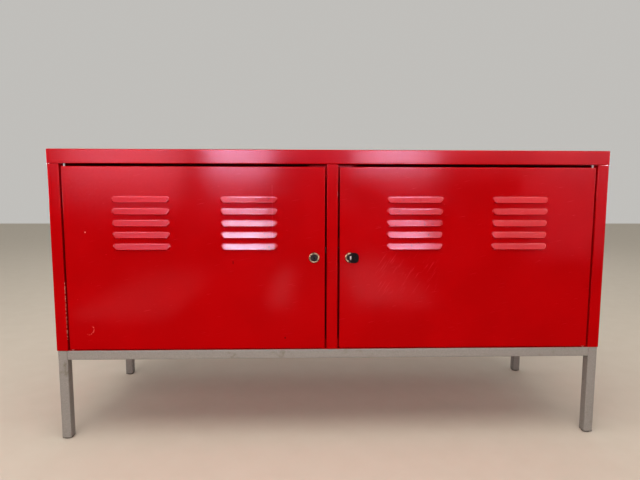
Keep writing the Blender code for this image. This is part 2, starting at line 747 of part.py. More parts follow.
def lock_cam(side_name, axis, turn, steel):
    # Hangs straight down when the door is unlocked.
    radius = CAM_WIDTH / 2
    outline = arc((0, CAM_HEEL - radius), radius, 0, 2 * QUARTER, ROUND // 2)
    outline += arc((0, radius - CAM_REACH), radius, 2 * QUARTER, 4 * QUARTER, ROUND // 2)
    cam = solid(side_name + "_lock_cam", prism(outline, CAM_BACK, CAM_FRONT), steel)
    half = PLUG_SHANK / 2 + GAP
    square = bmesh.new()
    add_box(square, (-half, -half, CAM_BACK - SHEET), (half, half, CAM_FRONT + SHEET))
    operand = solid(side_name + "_cam_square", closed(square), None)
    place(operand, axis, FACING_FRONT, turn)
    combine(cam, operand, "DIFFERENCE")
    return cam


def folding_key(turn, steel, black):
    # The blade stands in the keyway, and the head folds to the right on an upright pin.
    at = world_place(turn)
    eye = KEY_PIVOT_OUT
    half = KEY_BLADE_THICKNESS / 2
    meets = math.asin(half / KEY_BARREL_RADIUS)
    outline = [(-half, KEY_BLADE_DEPTH), (half, KEY_BLADE_DEPTH)]
    outline += arc((0, -eye), KEY_BARREL_RADIUS, QUARTER - meets, meets - 3 * QUARTER, ROUND // 2)
    reach = KEY_BLADE_HEIGHT / 2
    blade = solid("key_blade", prism(outline, -reach, reach), steel, smooth=True)
    place(blade, at, (0, 0, 0), turn)
    fold = pivot("key_fold", at + Vector((0, -eye, 0)), turn)
    pin_half = KEY_HEAD_HEIGHT / 2 - KEY_PIN_SETBACK
    pin_hole = KEY_PIN_RADIUS + KEY_PIN_CLEARANCE
    pin = bmesh.new()
    add_rod(pin, KEY_PIN_RADIUS, (0, 0, -pin_half), (0, 0, pin_half))
    place(solid("key_pivot_pin", closed(pin), steel, smooth=True), world_place(fold), (0, 0, 0), turn)
    for target, parent in ((blade, turn), (key_head(fold, black), fold)):
        hole = bmesh.new()
        add_rod(hole, pin_hole, (0, 0, -pin_half - GAP), (0, 0, pin_half + GAP))
        operand = solid(target.name + "_pin_hole", closed(hole), None)
        place(operand, world_place(fold), (0, 0, 0), parent)
        combine(target, operand, "DIFFERENCE")


def key_head(fold, black):
    at = world_place(fold)
    half, ear, length = KEY_HEAD_HEIGHT / 2, KEY_EAR_HEIGHT / 2, KEY_HEAD_LENGTH
    centre_x, centre_y = length - KEY_HEAD_ROUND, half - KEY_HEAD_ROUND
    shoulder = half - ear
    outline = [(-KEY_EAR, ear), (-KEY_EAR, -ear), (-KEY_EAR + shoulder, -half)]
    outline += arc((centre_x, -centre_y), KEY_HEAD_ROUND, -QUARTER, 0, ROUND // 4)
    outline += arc((centre_x, centre_y), KEY_HEAD_ROUND, 0, QUARTER, ROUND // 4)
    outline.append((-KEY_EAR + shoulder, half))
    thick = KEY_HEAD_THICKNESS / 2
    head = solid("key_head", prism(outline, -thick, thick), black)
    place(head, at, FACING_FRONT, fold)
    notch = bmesh.new()
    reach = KEY_BLADE_HEIGHT / 2 + GAP
    add_box(notch, (-2 * KEY_EAR, -reach, -2 * thick), (KEY_BARREL_RADIUS + GAP, reach, 2 * thick))
    operand = solid("key_head_notch", closed(notch), None)
    place(operand, at, FACING_FRONT, fold)
    combine(head, operand, "DIFFERENCE")
    return head


# Shelves


def shelf_clip_outline(into):
    # Seen from the front, from the wall's face and from the top of the ledge.
    hook_back = -SHEET - GAP - CLIP_HOOK
    points = [
        (GAP, 0),
        (CLIP_LEDGE, 0),
        (CLIP_LEDGE, -CLIP_PLATE),
        (GAP + CLIP_PLATE, -CLIP_PLATE),
        (GAP + CLIP_PLATE, -CLIP_DROP),
        (GAP, -CLIP_DROP),
        (GAP, -CLIP_NECK - CLIP_HOOK),
        (-SHEET - GAP, -CLIP_NECK - CLIP_HOOK),
        (-SHEET - GAP, -CLIP_HOOK_END),
        (hook_back, -CLIP_HOOK_END),
        (hook_back, -CLIP_NECK),
        (GAP, -CLIP_NECK),
    ]
    return [(into * x, y) for x, y in points]


def shelf(side_name, side, red, steel):
    near, far = CENTRE_STILE / 2 + SHELF_SIDE_GAP, STILE_EDGE - SHELF_SIDE_GAP
    front, back = FRONT + SHELF_SETBACK, SHELL_BACK - SHELF_BACK_GAP
    size = (far - near, back - front)
    board = folded_pan(side_name + "_shelf", size, SHELF_THICKNESS, (0, SHELF_LIP, 0, SHELF_LIP), red)
    place(board, (side * (near + far) / 2, (front + back) / 2, SHELF_BOTTOM + SHELF_THICKNESS))
    columns, _ = shelf_slot_places()
    walls = (("inner", side * CENTRE_STILE / 2, side), ("outer", side * STILE_EDGE, -side))
    for end, y in zip(("front", "back"), columns):
        for wall, x, into in walls:
            name = f"{side_name}_{end}_{wall}_shelf_clip"
            shape = prism(shelf_clip_outline(into), -CLIP_WIDTH / 2, CLIP_WIDTH / 2)
            place(solid(name, shape, steel), (x, y, SHELF_BOTTOM - GAP), FACING_FRONT)


def build():
    clear_scene()
    red = finish("red powder coat", (0.55, 0.002, 0.006), 0, 0.22)
    grey = finish("silver-grey powder coat", (0.32, 0.32, 0.32), 0.35, 0.4)
    chrome = finish("chromed zinc", (0.62, 0.6, 0.57), 1, 0.12)
    steel = finish("zinc-plated steel", (0.55, 0.56, 0.58), 1, 0.35)
    black = finish("black plastic", (0.02, 0.02, 0.022), 0, 0.45)
    plastic = finish("grey plastic", (0.16, 0.155, 0.15), 0, 0.45)
    nylon = finish("white nylon", (0.8, 0.8, 0.78), 0, 0.4)
    top_panel(red)
    bottom_panel(red)
    divider(red)
    door_stop(red)
    base_frame(grey, plastic)
    for name, side in SIDES.items():
        side_panel(name + "_side_panel", side, red)
        back_panel(name + "_back_panel", side, red)
        hinge = door(name, side, red, nylon)
        turn = lock(name, side, hinge, chrome, steel)
        if name == "right":
            folding_key(turn, steel, black)
        shelf(name, side, red, steel)


build()
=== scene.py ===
# Looks of a low two-door cabinet: folded and enamelled sheet steel on a square-tube base frame.
# Metres, +Z up, doors towards -Y. Sizes in the dictionaries are millimetres.

import json
import math

import bmesh
import bpy
from mathutils import Matrix, Vector


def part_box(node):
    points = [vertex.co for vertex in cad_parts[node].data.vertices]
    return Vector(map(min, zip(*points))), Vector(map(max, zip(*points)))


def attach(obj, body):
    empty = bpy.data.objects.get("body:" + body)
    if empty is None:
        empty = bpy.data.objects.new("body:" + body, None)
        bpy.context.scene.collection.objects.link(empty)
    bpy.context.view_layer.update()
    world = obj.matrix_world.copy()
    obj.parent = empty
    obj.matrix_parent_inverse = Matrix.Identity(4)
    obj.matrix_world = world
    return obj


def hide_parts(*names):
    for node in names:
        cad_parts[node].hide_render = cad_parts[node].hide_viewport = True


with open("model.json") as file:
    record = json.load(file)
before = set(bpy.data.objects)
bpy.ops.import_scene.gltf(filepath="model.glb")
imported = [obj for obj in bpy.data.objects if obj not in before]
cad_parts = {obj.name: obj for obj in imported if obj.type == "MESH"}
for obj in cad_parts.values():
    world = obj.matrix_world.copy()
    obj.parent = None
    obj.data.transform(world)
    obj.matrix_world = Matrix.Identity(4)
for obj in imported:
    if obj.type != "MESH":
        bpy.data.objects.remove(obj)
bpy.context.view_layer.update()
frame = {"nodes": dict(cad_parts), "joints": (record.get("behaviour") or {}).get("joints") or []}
print("frame loaded,", len(frame["nodes"]), "nodes")

mm = 0.001
past = 1 * mm  # how far a cutter runs past what it cuts
quarter = math.pi / 2
sides = {"left": -1, "right": 1}
joints = {j["name"]: Vector(j["pos_m"]) for j in frame["joints"] if "pos_m" in j}

capLow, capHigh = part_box("top_panel")
panelLow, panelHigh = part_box("right_side_panel")
frontY = panelLow.y  # plane of the stiles and door faces
sideX = panelHigh.x
hinge = joints["right_door_hinge"]
lockAt = joints["right_lock_turn"]

sheet = {
    "thickness": 0.8,
    "bend": 1.6,  # outer radius of a fold
    "bendSteps": 5,
    "relief": 1.8,  # cut back at both ends of a lip
}


# Camera and studio

camera = {
    "lens": 26.97,
    "sensor": 36,
    "place": (-55.7, -1217.5, 541.9),
    "down": 5.74,  # degrees
    "right": 1.63,
    "roll": -0.11,
}


def makeCamera():
    data = bpy.data.cameras.new("camera")
    data.lens = camera["lens"]
    data.sensor_width = camera["sensor"]
    made = bpy.data.objects.new("camera", data)
    bpy.context.scene.collection.objects.link(made)
    made.location = [v * mm for v in camera["place"]]
    turns = (90 - camera["down"], camera["roll"], -camera["right"])
    made.rotation_euler = [math.radians(t) for t in turns]
    bpy.context.scene.camera = made


def linear(hexColour):
    parts = [int(hexColour[i : i + 2], 16) / 255 for i in (1, 3, 5)]
    return (*[c / 12.92 if c <= 0.04045 else ((c + 0.055) / 1.055) ** 2.4 for c in parts], 1)


def addNode(tree, kind, settings=None, links=None):
    # Text keys that the node has are its own settings, and all other keys are its inputs.
    node = tree.nodes.new("ShaderNode" + kind)
    for key, value in (settings or {}).items():
        if isinstance(key, str) and hasattr(node, key):
            setattr(node, key, value)
        else:
            node.inputs[key].default_value = value
    for key, source in (links or {}).items():
        tree.links.new(source if hasattr(source, "is_output") else source.outputs[0], node.inputs[key])
    return node


def newMaterial(name, **shaderSettings):
    made = bpy.data.materials.new(name)
    made.use_nodes = True
    tree = made.node_tree
    tree.nodes.clear()
    shader = addNode(tree, "BsdfPrincipled", {k.replace("_", " "): v for k, v in shaderSettings.items()})
    addNode(tree, "OutputMaterial", {}, {"Surface": shader})
    where = addNode(tree, "TexCoord").outputs["Object"]
    return made, tree, shader, where


# Softboxes that only show as reflections stand in one plane behind the camera, like the windows
# and walls of a room: colour, then low X, low Z, high X, high Z and brightness of each panel.
softboxY = -2800
softboxes = {
    "leftWindow": (
        "#D4D8FF",
        (
            (-790, 560, -330, 640, 26),
            (-790, 640, -330, 740, 62),
            (-790, 740, -330, 1000, 150),
            (-790, 1000, -330, 1900, 150),
            (-560, 2400, -330, 2900, 12),
            (-790, 2400, -560, 2560, 12),
        ),
    ),
    "leftWindowTop": (
        "#C0E0FC",
        (
            (-790, 1900, -370, 2400, 300),
            (-790, 2560, -560, 2720, 100),
        ),
    ),
    "rightWindow": (
        "#E2D8FA",
        (
            (330, 650, 900, 740, 18),
            (330, 740, 900, 1000, 140),
            (330, 1000, 1010, 1900, 120),
            (680, 1900, 1010, 2400, 165),
            (330, 1900, 680, 2270, 75),
        ),
    ),
    "betweenWindows": ("#D8C8FF", ((-330, 740, 330, 1000, 10),)),
    "leftWall": (
        "#F0D2EC",
        (
            (-1850, 440, -1000, 600, 14),
            (-1850, 600, -1000, 740, 30),
            (-1850, 740, -1000, 1000, 50),
            (-1850, 1000, -1000, 1800, 85),
            (-1850, 1800, -1000, 2900, 32),
        ),
    ),
    "rightWall": (
        "#FFD8F0",
        ((1650, 60, 2900, 640, 7), (900, 740, 1650, 1000, 10), (1650, 640, 2900, 1000, 14)),
    ),
    "rightCeiling": (
        "#FFDCE4",
        ((1100, 1000, 2900, 1800, 75), (1100, 1800, 2900, 2420, 24), (330, 2420, 2900, 2900, 26)),
    ),
}
# Glowing patches that the doors mirror from the floor: middle in X and Y, size, brightness, colour
glowHeight = 12
glows = {
    "leftGlow": ((-860, -1700), (420, 1100), 6, "#FFECF0"),
    "middleGlow": ((-190, -1900), (110, 1100), 11, "#FFE6F0"),
    "rightGlow": ((370, -2150), (380, 1500), 11, "#FFE6F0"),
}
# Lamps that light the cabinet: place, aimed at, width, height, brightness, colour
lamps = {
    "window": ((-600, -2750, 1500), (0, 0, 400), 1800, 1500, 3.5, "#FFF4EE"),
    "overhead": ((-200, -900, 2700), (0, 0, 200), 2600, 1800, 2.1, "#FFF4EA"),
    "behind": ((300, 3200, 1900), (0, 0, 300), 2400, 1600, 0.9, "#FFFFFF"),
}
# Side reflectors that draw a light line along the folds, in the same order
reflectors = {
    "leftReflector": ((-3200, -600, 1300), (0, 0, 500), 2600, 1900, 45, "#F4E2F0"),
    "rightReflector": ((3200, -600, 1300), (0, 0, 500), 2600, 1900, 36, "#FFE6E6"),
    "backLeftReflector": ((-2700, 3000, 800), (0, 0, 500), 1500, 1100, 28, "#FFEAF0"),
    "backRightReflector": ((2700, 3000, 800), (0, 0, 500), 1500, 1100, 28, "#FFEAF0"),
}
backdrop = {"colour": "#E4E2DE", "brightness": 0.6}
floorSettings = {"size": 14000, "colour": "#D2CBC0", "mottle": "#CCC4B8", "mottleSize": 60}


def makeLamp(name, place, aim, width, height, brightness, colour):
    data = bpy.data.lights.new(name, "AREA")
    data.shape = "RECTANGLE"
    data.size, data.size_y = width * mm, height * mm
    data.energy = brightness * math.pi * data.size * data.size_y
    data.color = linear(colour)[:3]
    lamp = bpy.data.objects.new(name, data)
    bpy.context.scene.collection.objects.link(lamp)
    lamp.location = Vector(place) * mm
    lamp.rotation_euler = (Vector(aim) - Vector(place)).to_track_quat("-Z", "Y").to_euler()
    lamp.visible_camera = False
    return lamp


def makeStudio():
    scene = bpy.context.scene
    scene.view_settings.view_transform = "Standard"
    scene.view_settings.look = "Medium High Contrast"
    world = bpy.data.worlds.new("studio")
    world.use_nodes = True
    world.node_tree.nodes.clear()
    sky = {"Color": linear(backdrop["colour"]), "Strength": backdrop["brightness"]}
    background = addNode(world.node_tree, "Background", sky)
    addNode(world.node_tree, "OutputWorld", {}, {"Surface": background})
    scene.world = world
    for name, (colour, panels) in softboxes.items():
        for lowX, lowZ, highX, highZ, brightness in panels:
            place = ((lowX + highX) / 2, softboxY, (lowZ + highZ) / 2)
            ahead = (place[0], 0, place[2])
            box = makeLamp(name, place, ahead, highX - lowX, highZ - lowZ, brightness, colour)
            box.visible_diffuse = False
    for name, ((x, y), size, brightness, colour) in glows.items():
        patch = makeLamp(name, (x, y, glowHeight), (x, y, 1000), *size, brightness, colour)
        patch.visible_diffuse = False
    for name, settings in lamps.items():
        makeLamp(name, *settings).visible_glossy = name != "window"
    for name, settings in reflectors.items():
        makeLamp(name, *settings).visible_diffuse = False
    material, tree, shader, where = newMaterial("pale studio floor", Roughness=1)
    shader.inputs["Specular IOR Level"].default_value = 0
    settings = {"Scale": 1000 / floorSettings["mottleSize"], "Detail": 4}
    mottle = addNode(tree, "TexNoise", settings, {"Vector": where})
    tone = addNode(tree, "ValToRGB", {}, {"Fac": mottle})
    tone.color_ramp.elements[0].color = linear(floorSettings["mottle"])
    tone.color_ramp.elements[1].color = linear(floorSettings["colour"])
    tree.links.new(tone.outputs[0], shader.inputs["Base Color"])
    bm = bmesh.new()
    bmesh.ops.create_grid(bm, x_segments=2, y_segments=2, size=floorSettings["size"] * mm / 2)
    mesh = bpy.data.meshes.new("floor")
    bm.to_mesh(mesh)
    bm.free()
    mesh.materials.append(material)
    floor = bpy.data.objects.new("floor", mesh)
    scene.collection.objects.link(floor)


makeCamera()
makeStudio()
print("camera and studio made")


# Materials

softStep = {"interpolation_type": "SMOOTHSTEP"}

enamel = {
    "red": "#B40008",
    "deepRed": "#AE0007",
    "chalk": "#C8323C",  # rubbed, slightly faded film
    "grime": "#5A0A10",
    "primer": "#E0A08E",
    "steel": "#35100E",
    "scuff": "#D06A64",
    "specular": 0.035,
    "gloss": (0.11, 0.17),  # roughness of clean and of smeared film
    "dustRoughness": 0.5,  # added on the top and on specks
    "toneSize": 140,
    "raggedSize": 3.846,
    "smearSize": 71.43,
    "dustSize": 71.43,
    "peelSize": 2.6,  # orange peel of a sprayed film, drawn a little coarser than its 1 mm
    "waveSize": 190,
    "nibSpacing": 16,
    "nibSize": 1.1,
    "grimeSpacing": 9,
    "grimeSize": 1.6,
    "hairLength": 30,
    "hairSpacing": 2.4,
}
# Wear on the front: low X, high X, low Z, high Z of each place and the width of its soft edge
wear = {
    "grime": (-300, 240, 425, 540, 5),
    "rubbing": (110, 215, 335, 400, 25),
    "hairlines": (-500, 540, 240, 560, 60),
    "faintLine": (-128.2, -127.6, 446, 556, 0.6),
    "scratch": (-213, -212, 388, 394, 0.5),
    "pit": (-103, -101, 223.5, 226.5, 0.5),
    "fleck": (-523, -521, 455, 457, 0.5),
    "scuff": (-526, -508, 232, 252, 3),
    "edgeChips": (-570.6, -568.8, 222, 350, 0.5),
}
scuffRing = {"middle": (-524, 246), "inner": 10.5, "outer": 12, "soft": 0.9}


def redEnamel():
    # Glossy red stoving enamel: saturated body colour, clear soft reflections, a faint orange
    # peel, dust nibs, hairline scratches and a few chips down to pale primer and dark steel.
    made, tree, shader, where = newMaterial("glossy red enamel", Roughness=0.2, IOR=1.5)
    x, y, z = addNode(tree, "SeparateXYZ", {}, {"Vector": where}).outputs
    facing = addNode(tree, "TexCoord").outputs["Normal"]
    upward = addNode(tree, "SeparateXYZ", {}, {"Vector": facing}).outputs[2]

    def noise(size, detail, roughness=0.5):
        return {"Scale": 1000 / size, "Detail": detail, "Roughness": roughness}

    def meeting(*masks):
        # Where all of the masks meet.
        shared = masks[0]
        for mask in masks[1:]:
            multiply = {"operation": "MULTIPLY", "use_clamp": True}
            shared = addNode(tree, "Math", multiply, {0: shared, 1: mask})
        return shared

    def band(value, low, high, soft):
        # 1 between low and high, fading out over soft, in mm.
        rise = {**softStep, 1: (low - soft) * mm, 2: low * mm}
        fall = {**softStep, 1: high * mm, 2: (high + soft) * mm, 3: 1, 4: 0}
        return meeting(*[addNode(tree, "MapRange", step, {"Value": value}) for step in (rise, fall)])

    def patch(place):
        lowX, highX, lowZ, highZ, soft = wear[place]
        return meeting(band(x, lowX, highX, soft), band(z, lowZ, highZ, soft), onFront)

    def specks(spacing, size, share, place, dimensions):
        # Round specks up to the size in that share of the cells.
        settings = {"voronoi_dimensions": dimensions, "Scale": 1000 / spacing}
        cells = addNode(tree, "TexVoronoi", settings, {"Vector": place})
        pick = addNode(tree, "SeparateColor", {}, {"Color": cells.outputs["Color"]})
        grow = {1: 1 - share, 2: 1, 3: 0, 4: size / spacing}
        reach = addNode(tree, "MapRange", grow, {"Value": pick})
        return addNode(tree, "Math", {"operation": "LESS_THAN"}, {0: cells.outputs["Distance"], 1: reach})

    def hairs(turn, low, high):
        # Fine parallel scratches, turned from the vertical by some degrees.
        stretch = (enamel["hairLength"] * mm, 1, enamel["hairSpacing"] * mm)
        settings = {"vector_type": "TEXTURE", "Rotation": (0, math.radians(turn), 0), "Scale": stretch}
        along = addNode(tree, "Mapping", settings, {"Vector": where})
        lines = addNode(tree, "TexNoise", {"Scale": 1, "Detail": 1, "Roughness": 0.4}, {"Vector": along})
        return addNode(tree, "MapRange", {**softStep, 1: low, 2: high}, {"Value": lines})

    onFront = addNode(
        tree, "MapRange", {**softStep, 1: frontY + 2 * mm, 2: frontY + 5 * mm, 3: 1, 4: 0}, {"Value": y}
    )
    onHoods = addNode(
        tree, "MapRange", {**softStep, 1: frontY - 1.2 * mm, 2: frontY - 0.6 * mm, 3: 1, 4: 0}, {"Value": y}
    )
    ragged = addNode(tree, "TexNoise", noise(enamel["raggedSize"], 4, 0.7), {"Vector": where})
    torn = addNode(tree, "MapRange", {**softStep, 1: 0.42, 2: 0.62}, {"Value": ragged})
    flaked = addNode(tree, "MapRange", {**softStep, 1: 0.49, 2: 0.52}, {"Value": ragged})
    nibs = specks(enamel["nibSpacing"], enamel["nibSize"], 0.2, where, "3D")
    flatPlace = addNode(tree, "CombineXYZ", {}, {"X": x, "Y": z})
    spots = specks(enamel["grimeSpacing"], enamel["grimeSize"], 0.3, flatPlace, "2D")
    grime = meeting(spots, onHoods, patch("grime"))

    # The top has a film of dust, which takes its gloss away.
    isUp = addNode(tree, "MapRange", {**softStep, 1: 0.6, 2: 0.9}, {"Value": upward})
    isTop = addNode(
        tree, "MapRange", {**softStep, 1: capHigh.z - 1.2 * mm, 2: capHigh.z - 0.8 * mm}, {"Value": z}
    )
    dust = meeting(isUp, isTop)
    film = addNode(tree, "TexNoise", noise(enamel["dustSize"], 7, 0.7), {"Vector": where})
    cloudy = addNode(tree, "MapRange", {**softStep, 1: 0.3, 2: 0.75, 3: 0.08, 4: 0.32}, {"Value": film})

    middle = (scuffRing["middle"][0] * mm, frontY, scuffRing["middle"][1] * mm)
    onPlane = addNode(tree, "CombineXYZ", {"Y": frontY}, {"X": x, "Z": z})
    away = addNode(tree, "VectorMath", {"operation": "DISTANCE", 1: middle}, {0: onPlane}).outputs["Value"]
    crescent = band(away, scuffRing["inner"], scuffRing["outer"], scuffRing["soft"])

    tone = addNode(tree, "TexNoise", noise(enamel["toneSize"], 3), {"Vector": where})
    shade = addNode(tree, "MapRange", {**softStep, 1: 0.35, 2: 0.65}, {"Value": tone})
    reds = {"data_type": "RGBA", 6: linear(enamel["deepRed"]), 7: linear(enamel["red"])}
    body = addNode(tree, "Mix", reds, {0: shade}).outputs[2]
    steep = meeting(hairs(-58, 0.6, 0.72), patch("rubbing"))
    upright = meeting(hairs(-12, 0.71, 0.8), patch("hairlines"))
    rubbed = addNode(tree, "Math", {"operation": "ADD", "use_clamp": True}, {0: steep, 1: upright})
    layers = (
        ("chalk", nibs),
        ("grime", grime),
        ("chalk", meeting(dust, cloudy)),
        ("chalk", meeting(rubbed, ragged)),
        ("chalk", meeting(patch("faintLine"), ragged)),
        ("steel", patch("scratch")),
        ("steel", patch("pit")),
        ("primer", patch("fleck")),
        ("scuff", meeting(crescent, patch("scuff"), torn)),
        ("primer", meeting(flaked, patch("edgeChips"))),
    )
    for colour, mask in layers:
        over = {"data_type": "RGBA", 7: linear(enamel[colour])}
        body = addNode(tree, "Mix", over, {0: mask, 6: body}).outputs[2]
    tree.links.new(body, shader.inputs["Base Color"])

    gleam = enamel["specular"]
    shader.inputs["Specular IOR Level"].default_value = gleam
    dulled = {"operation": "MULTIPLY_ADD", 1: -gleam, 2: gleam}
    level = addNode(tree, "Math", dulled, {0: dust})
    tree.links.new(level.outputs[0], shader.inputs["Specular IOR Level"])
    smears = addNode(tree, "TexNoise", noise(enamel["smearSize"], 5, 0.6), {"Vector": where})
    clean, smeared = enamel["gloss"]
    gloss = addNode(tree, "MapRange", {1: 0.3, 2: 0.7, 3: clean, 4: smeared}, {"Value": smears})
    dirty = addNode(tree, "Math", {"operation": "MAXIMUM"}, {0: grime, 1: dust})
    rougher = {"operation": "MULTIPLY_ADD", 1: enamel["dustRoughness"]}
    roughness = addNode(tree, "Math", rougher, {0: dirty, 2: gloss})
    tree.links.new(roughness.outputs[0], shader.inputs["Roughness"])

    waves = addNode(tree, "TexNoise", noise(enamel["waveSize"], 0), {"Vector": where})
    peel = addNode(tree, "TexNoise", noise(enamel["peelSize"], 2), {"Vector": where})
    relief = addNode(tree, "Bump", {"Strength": 1, "Distance": 0.5 * mm}, {"Height": waves})
    for strength, depth, height in ((0.05, 0.1, peel), (0.5, 0.2, nibs)):
        settings = {"Strength": strength, "Distance": depth * mm}
        relief = addNode(tree, "Bump", settings, {"Height": height, "Normal": relief})
    tree.links.new(relief.outputs[0], shader.inputs["Normal"])
    return made


powder = {
    "light": "#9A9692",
    "dark": "#8E8A86",
    "rubbed": "#7C766A",
    "flakeSize": 1.2,  # the flake is about 0.05 mm, drawn coarser so that it shows
    "rubbedSize": 45.455,
    "grainSize": 1.5,
}


def silverPowder():
    # Silver-grey powder coat on welded tube: satin, with a fine metallic flake and rubbed spots.
    made, tree, shader, where = newMaterial("silver-grey powder coat", Roughness=0.5)
    shader.inputs["Specular IOR Level"].default_value = 0.03
    flake = addNode(tree, "TexVoronoi", {"Scale": 1000 / powder["flakeSize"]}, {"Vector": where})
    glint = addNode(tree, "SeparateColor", {}, {"Color": flake.outputs["Color"]})
    greys = {"data_type": "RGBA", 6: linear(powder["dark"]), 7: linear(powder["light"])}
    tone = addNode(tree, "Mix", greys, {0: glint}).outputs[2]
    cloud = {"Scale": 1000 / powder["rubbedSize"], "Detail": 6, "Roughness": 0.62}
    rubbed = addNode(tree, "TexNoise", cloud, {"Vector": where})
    spots = addNode(tree, "MapRange", {**softStep, 1: 0.6, 2: 0.74}, {"Value": rubbed})
    over = {"data_type": "RGBA", 7: linear(powder["rubbed"])}
    tone = addNode(tree, "Mix", over, {0: spots, 6: tone}).outputs[2]
    tree.links.new(tone, shader.inputs["Base Color"])
    grain = addNode(tree, "TexNoise", {"Scale": 1000 / powder["grainSize"], "Detail": 2}, {"Vector": where})
    bump = addNode(tree, "Bump", {"Strength": 0.15, "Distance": 0.1 * mm}, {"Height": grain})
    tree.links.new(bump.outputs[0], shader.inputs["Normal"])
    return made


def platedMetal(name, light, dark, low, high, grain, tarnish):
    # Plated metal: clear tint, cloudy tarnish and fine rubbing marks that vary the gloss.
    # Its light and dark shades are given far darker than clean plate: painted reflection and painted shade.
    made, tree, shader, where = newMaterial(name, Metallic=1, Roughness=low)
    settings = {"Scale": 1000 / tarnish, "Detail": 5, "Roughness": 0.6}
    cloud = addNode(tree, "TexNoise", settings, {"Vector": where})
    tarnished = addNode(tree, "MapRange", {**softStep, 1: 0.32, 2: 0.6}, {"Value": cloud})
    tones = {"data_type": "RGBA", 6: linear(dark), 7: linear(light)}
    tone = addNode(tree, "Mix", tones, {0: tarnished}).outputs[2]
    tree.links.new(tone, shader.inputs["Base Color"])
    marks = addNode(tree, "TexNoise", {"Scale": 1000 / grain, "Detail": 3}, {"Vector": where})
    gloss = addNode(tree, "MapRange", {1: 0.3, 2: 0.7, 3: low, 4: high}, {"Value": marks})
    tree.links.new(gloss.outputs[0], shader.inputs["Roughness"])
    bump = addNode(tree, "Bump", {"Strength": 0.06, "Distance": 0.05 * mm}, {"Height": marks})
    tree.links.new(bump.outputs[0], shader.inputs["Normal"])
    return made


def mouldedPlastic(name, light, dark, roughness, specular):
    # Injection-moulded plastic: fine spark-eroded grain and slight shade changes from handling.
    made, tree, shader, where = newMaterial(name, Roughness=roughness, IOR=1.49)
    shader.inputs["Specular IOR Level"].default_value = specular
    handled = {"Scale": 1000 / plastic["cloudSize"], "Detail": 4}
    cloud = addNode(tree, "TexNoise", handled, {"Vector": where})
    shade = addNode(tree, "MapRange", {**softStep, 1: 0.35, 2: 0.65}, {"Value": cloud})
    tones = {"data_type": "RGBA", 6: linear(dark), 7: linear(light)}
    tone = addNode(tree, "Mix", tones, {0: shade}).outputs[2]
    tree.links.new(tone, shader.inputs["Base Color"])
    eroded = {"Scale": 1000 / plastic["grainSize"], "Detail": 2}
    texture = addNode(tree, "TexNoise", eroded, {"Vector": where})
    bump = addNode(tree, "Bump", {"Strength": 0.2, "Distance": 0.05 * mm}, {"Height": texture})
    tree.links.new(bump.outputs[0], shader.inputs["Normal"])
    return made


# Shades light and dark, then lowest and highest roughness, size of its rubbing and of its tarnish
metals = {
    # Chrome: both shades far darker than clean chrome, a painted reflection of a dark room in the lock
    # rose.
    "chromed zinc darkened as painted reflection": ("#483C2B", "#120D08", 0.36, 0.55, 0.6, 3),
    # Nickel: both shades nearly black, a painted reflection of a dark room in the lock plug's face.
    "nickel-plated brass darkened as painted reflection": ("#120F0C", "#0A0908", 0.5, 0.6, 0.5, 3),
    # Zinc: both shades darker than clean zinc plate, painted shade that dims the highlights on the key
    # blade and the lock parts.
    "zinc-plated steel": ("#5A564E", "#3C3934", 0.42, 0.55, 0.8, 6),
}
# Shades light and dark, roughness and specular level
plastics = {
    "black moulded plastic": ("#1C1612", "#0E0B09", 0.42, 0.015),
    "grey moulded plastic": ("#77716A", "#6A645D", 0.45, 0.08),
    "white moulded nylon": ("#EFEDE6", "#E2DFD6", 0.4, 0.1),
}
plastic = {"cloudSize": 11.111, "grainSize": 0.5}

red = redEnamel()
grey = silverPowder()
chrome, nickel, zinc = [platedMetal(name, *finish) for name, finish in metals.items()]
black, greyPlastic, nylon = [mouldedPlastic(name, *finish) for name, finish in plastics.items()]
print("materials made")


# Mesh helpers


def newObject(name, bm, place=None):
    # The place goes into the mesh, so that the object stays at the origin.
    bm.normal_update()
    mesh = bpy.data.meshes.new(name)
    bm.to_mesh(mesh)
    bm.free()
    if place:
        mesh.transform(place)
    made = bpy.data.objects.new(name, mesh)
    bpy.context.scene.collection.objects.link(made)
    return made


def cut(obj, bm, place=None):
    bmesh.ops.recalc_face_normals(bm, faces=bm.faces)
    cutter = newObject(obj.name + "_cutter", bm, place)
    cutter.hide_render = True
    step = obj.modifiers.new("cut", "BOOLEAN")
    step.operation = "DIFFERENCE"
    step.solver = "EXACT"
    step.object = cutter


def bevelEdges(obj, width, steps=3, angle=30):
    step = obj.modifiers.new("soft edges", "BEVEL")
    step.width = width * mm
    step.segments = steps
    step.limit_method = "ANGLE"
    step.angle_limit = math.radians(angle)


def finishPiece(obj, material, body, *nodes, sharpAngle=32):
    # Applies the modifiers, shades flat faces flat and folds round, and ties the piece to its body.
    graph = bpy.context.evaluated_depsgraph_get()
    done = bpy.data.meshes.new_from_object(obj.evaluated_get(graph))
    for step in list(obj.modifiers):
        if step.type == "BOOLEAN":
            bpy.data.objects.remove(step.object)
    obj.modifiers.clear()
    obj.data = done
    done.materials.clear()
    done.materials.append(material)
    done.shade_smooth()
    done.set_sharp_from_angle(angle=math.radians(sharpAngle))
    even = obj.modifiers.new("even shading", "WEIGHTED_NORMAL")
    even.keep_sharp = True
    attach(obj, body)
    if nodes:
        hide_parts(*nodes)
    return obj


def facingFront(x, z, y=frontY):
    # Local X right, Y up, Z out towards the front.
    return Matrix.Translation((x, y, z)) @ Matrix.Rotation(quarter, 4, "X")


def addBox(bm, low, high):
    low, high = Vector(low), Vector(high)
    place = Matrix.Translation((low + high) / 2) @ Matrix.Diagonal((*(high - low), 1))
    bmesh.ops.create_cube(bm, size=1, matrix=place)


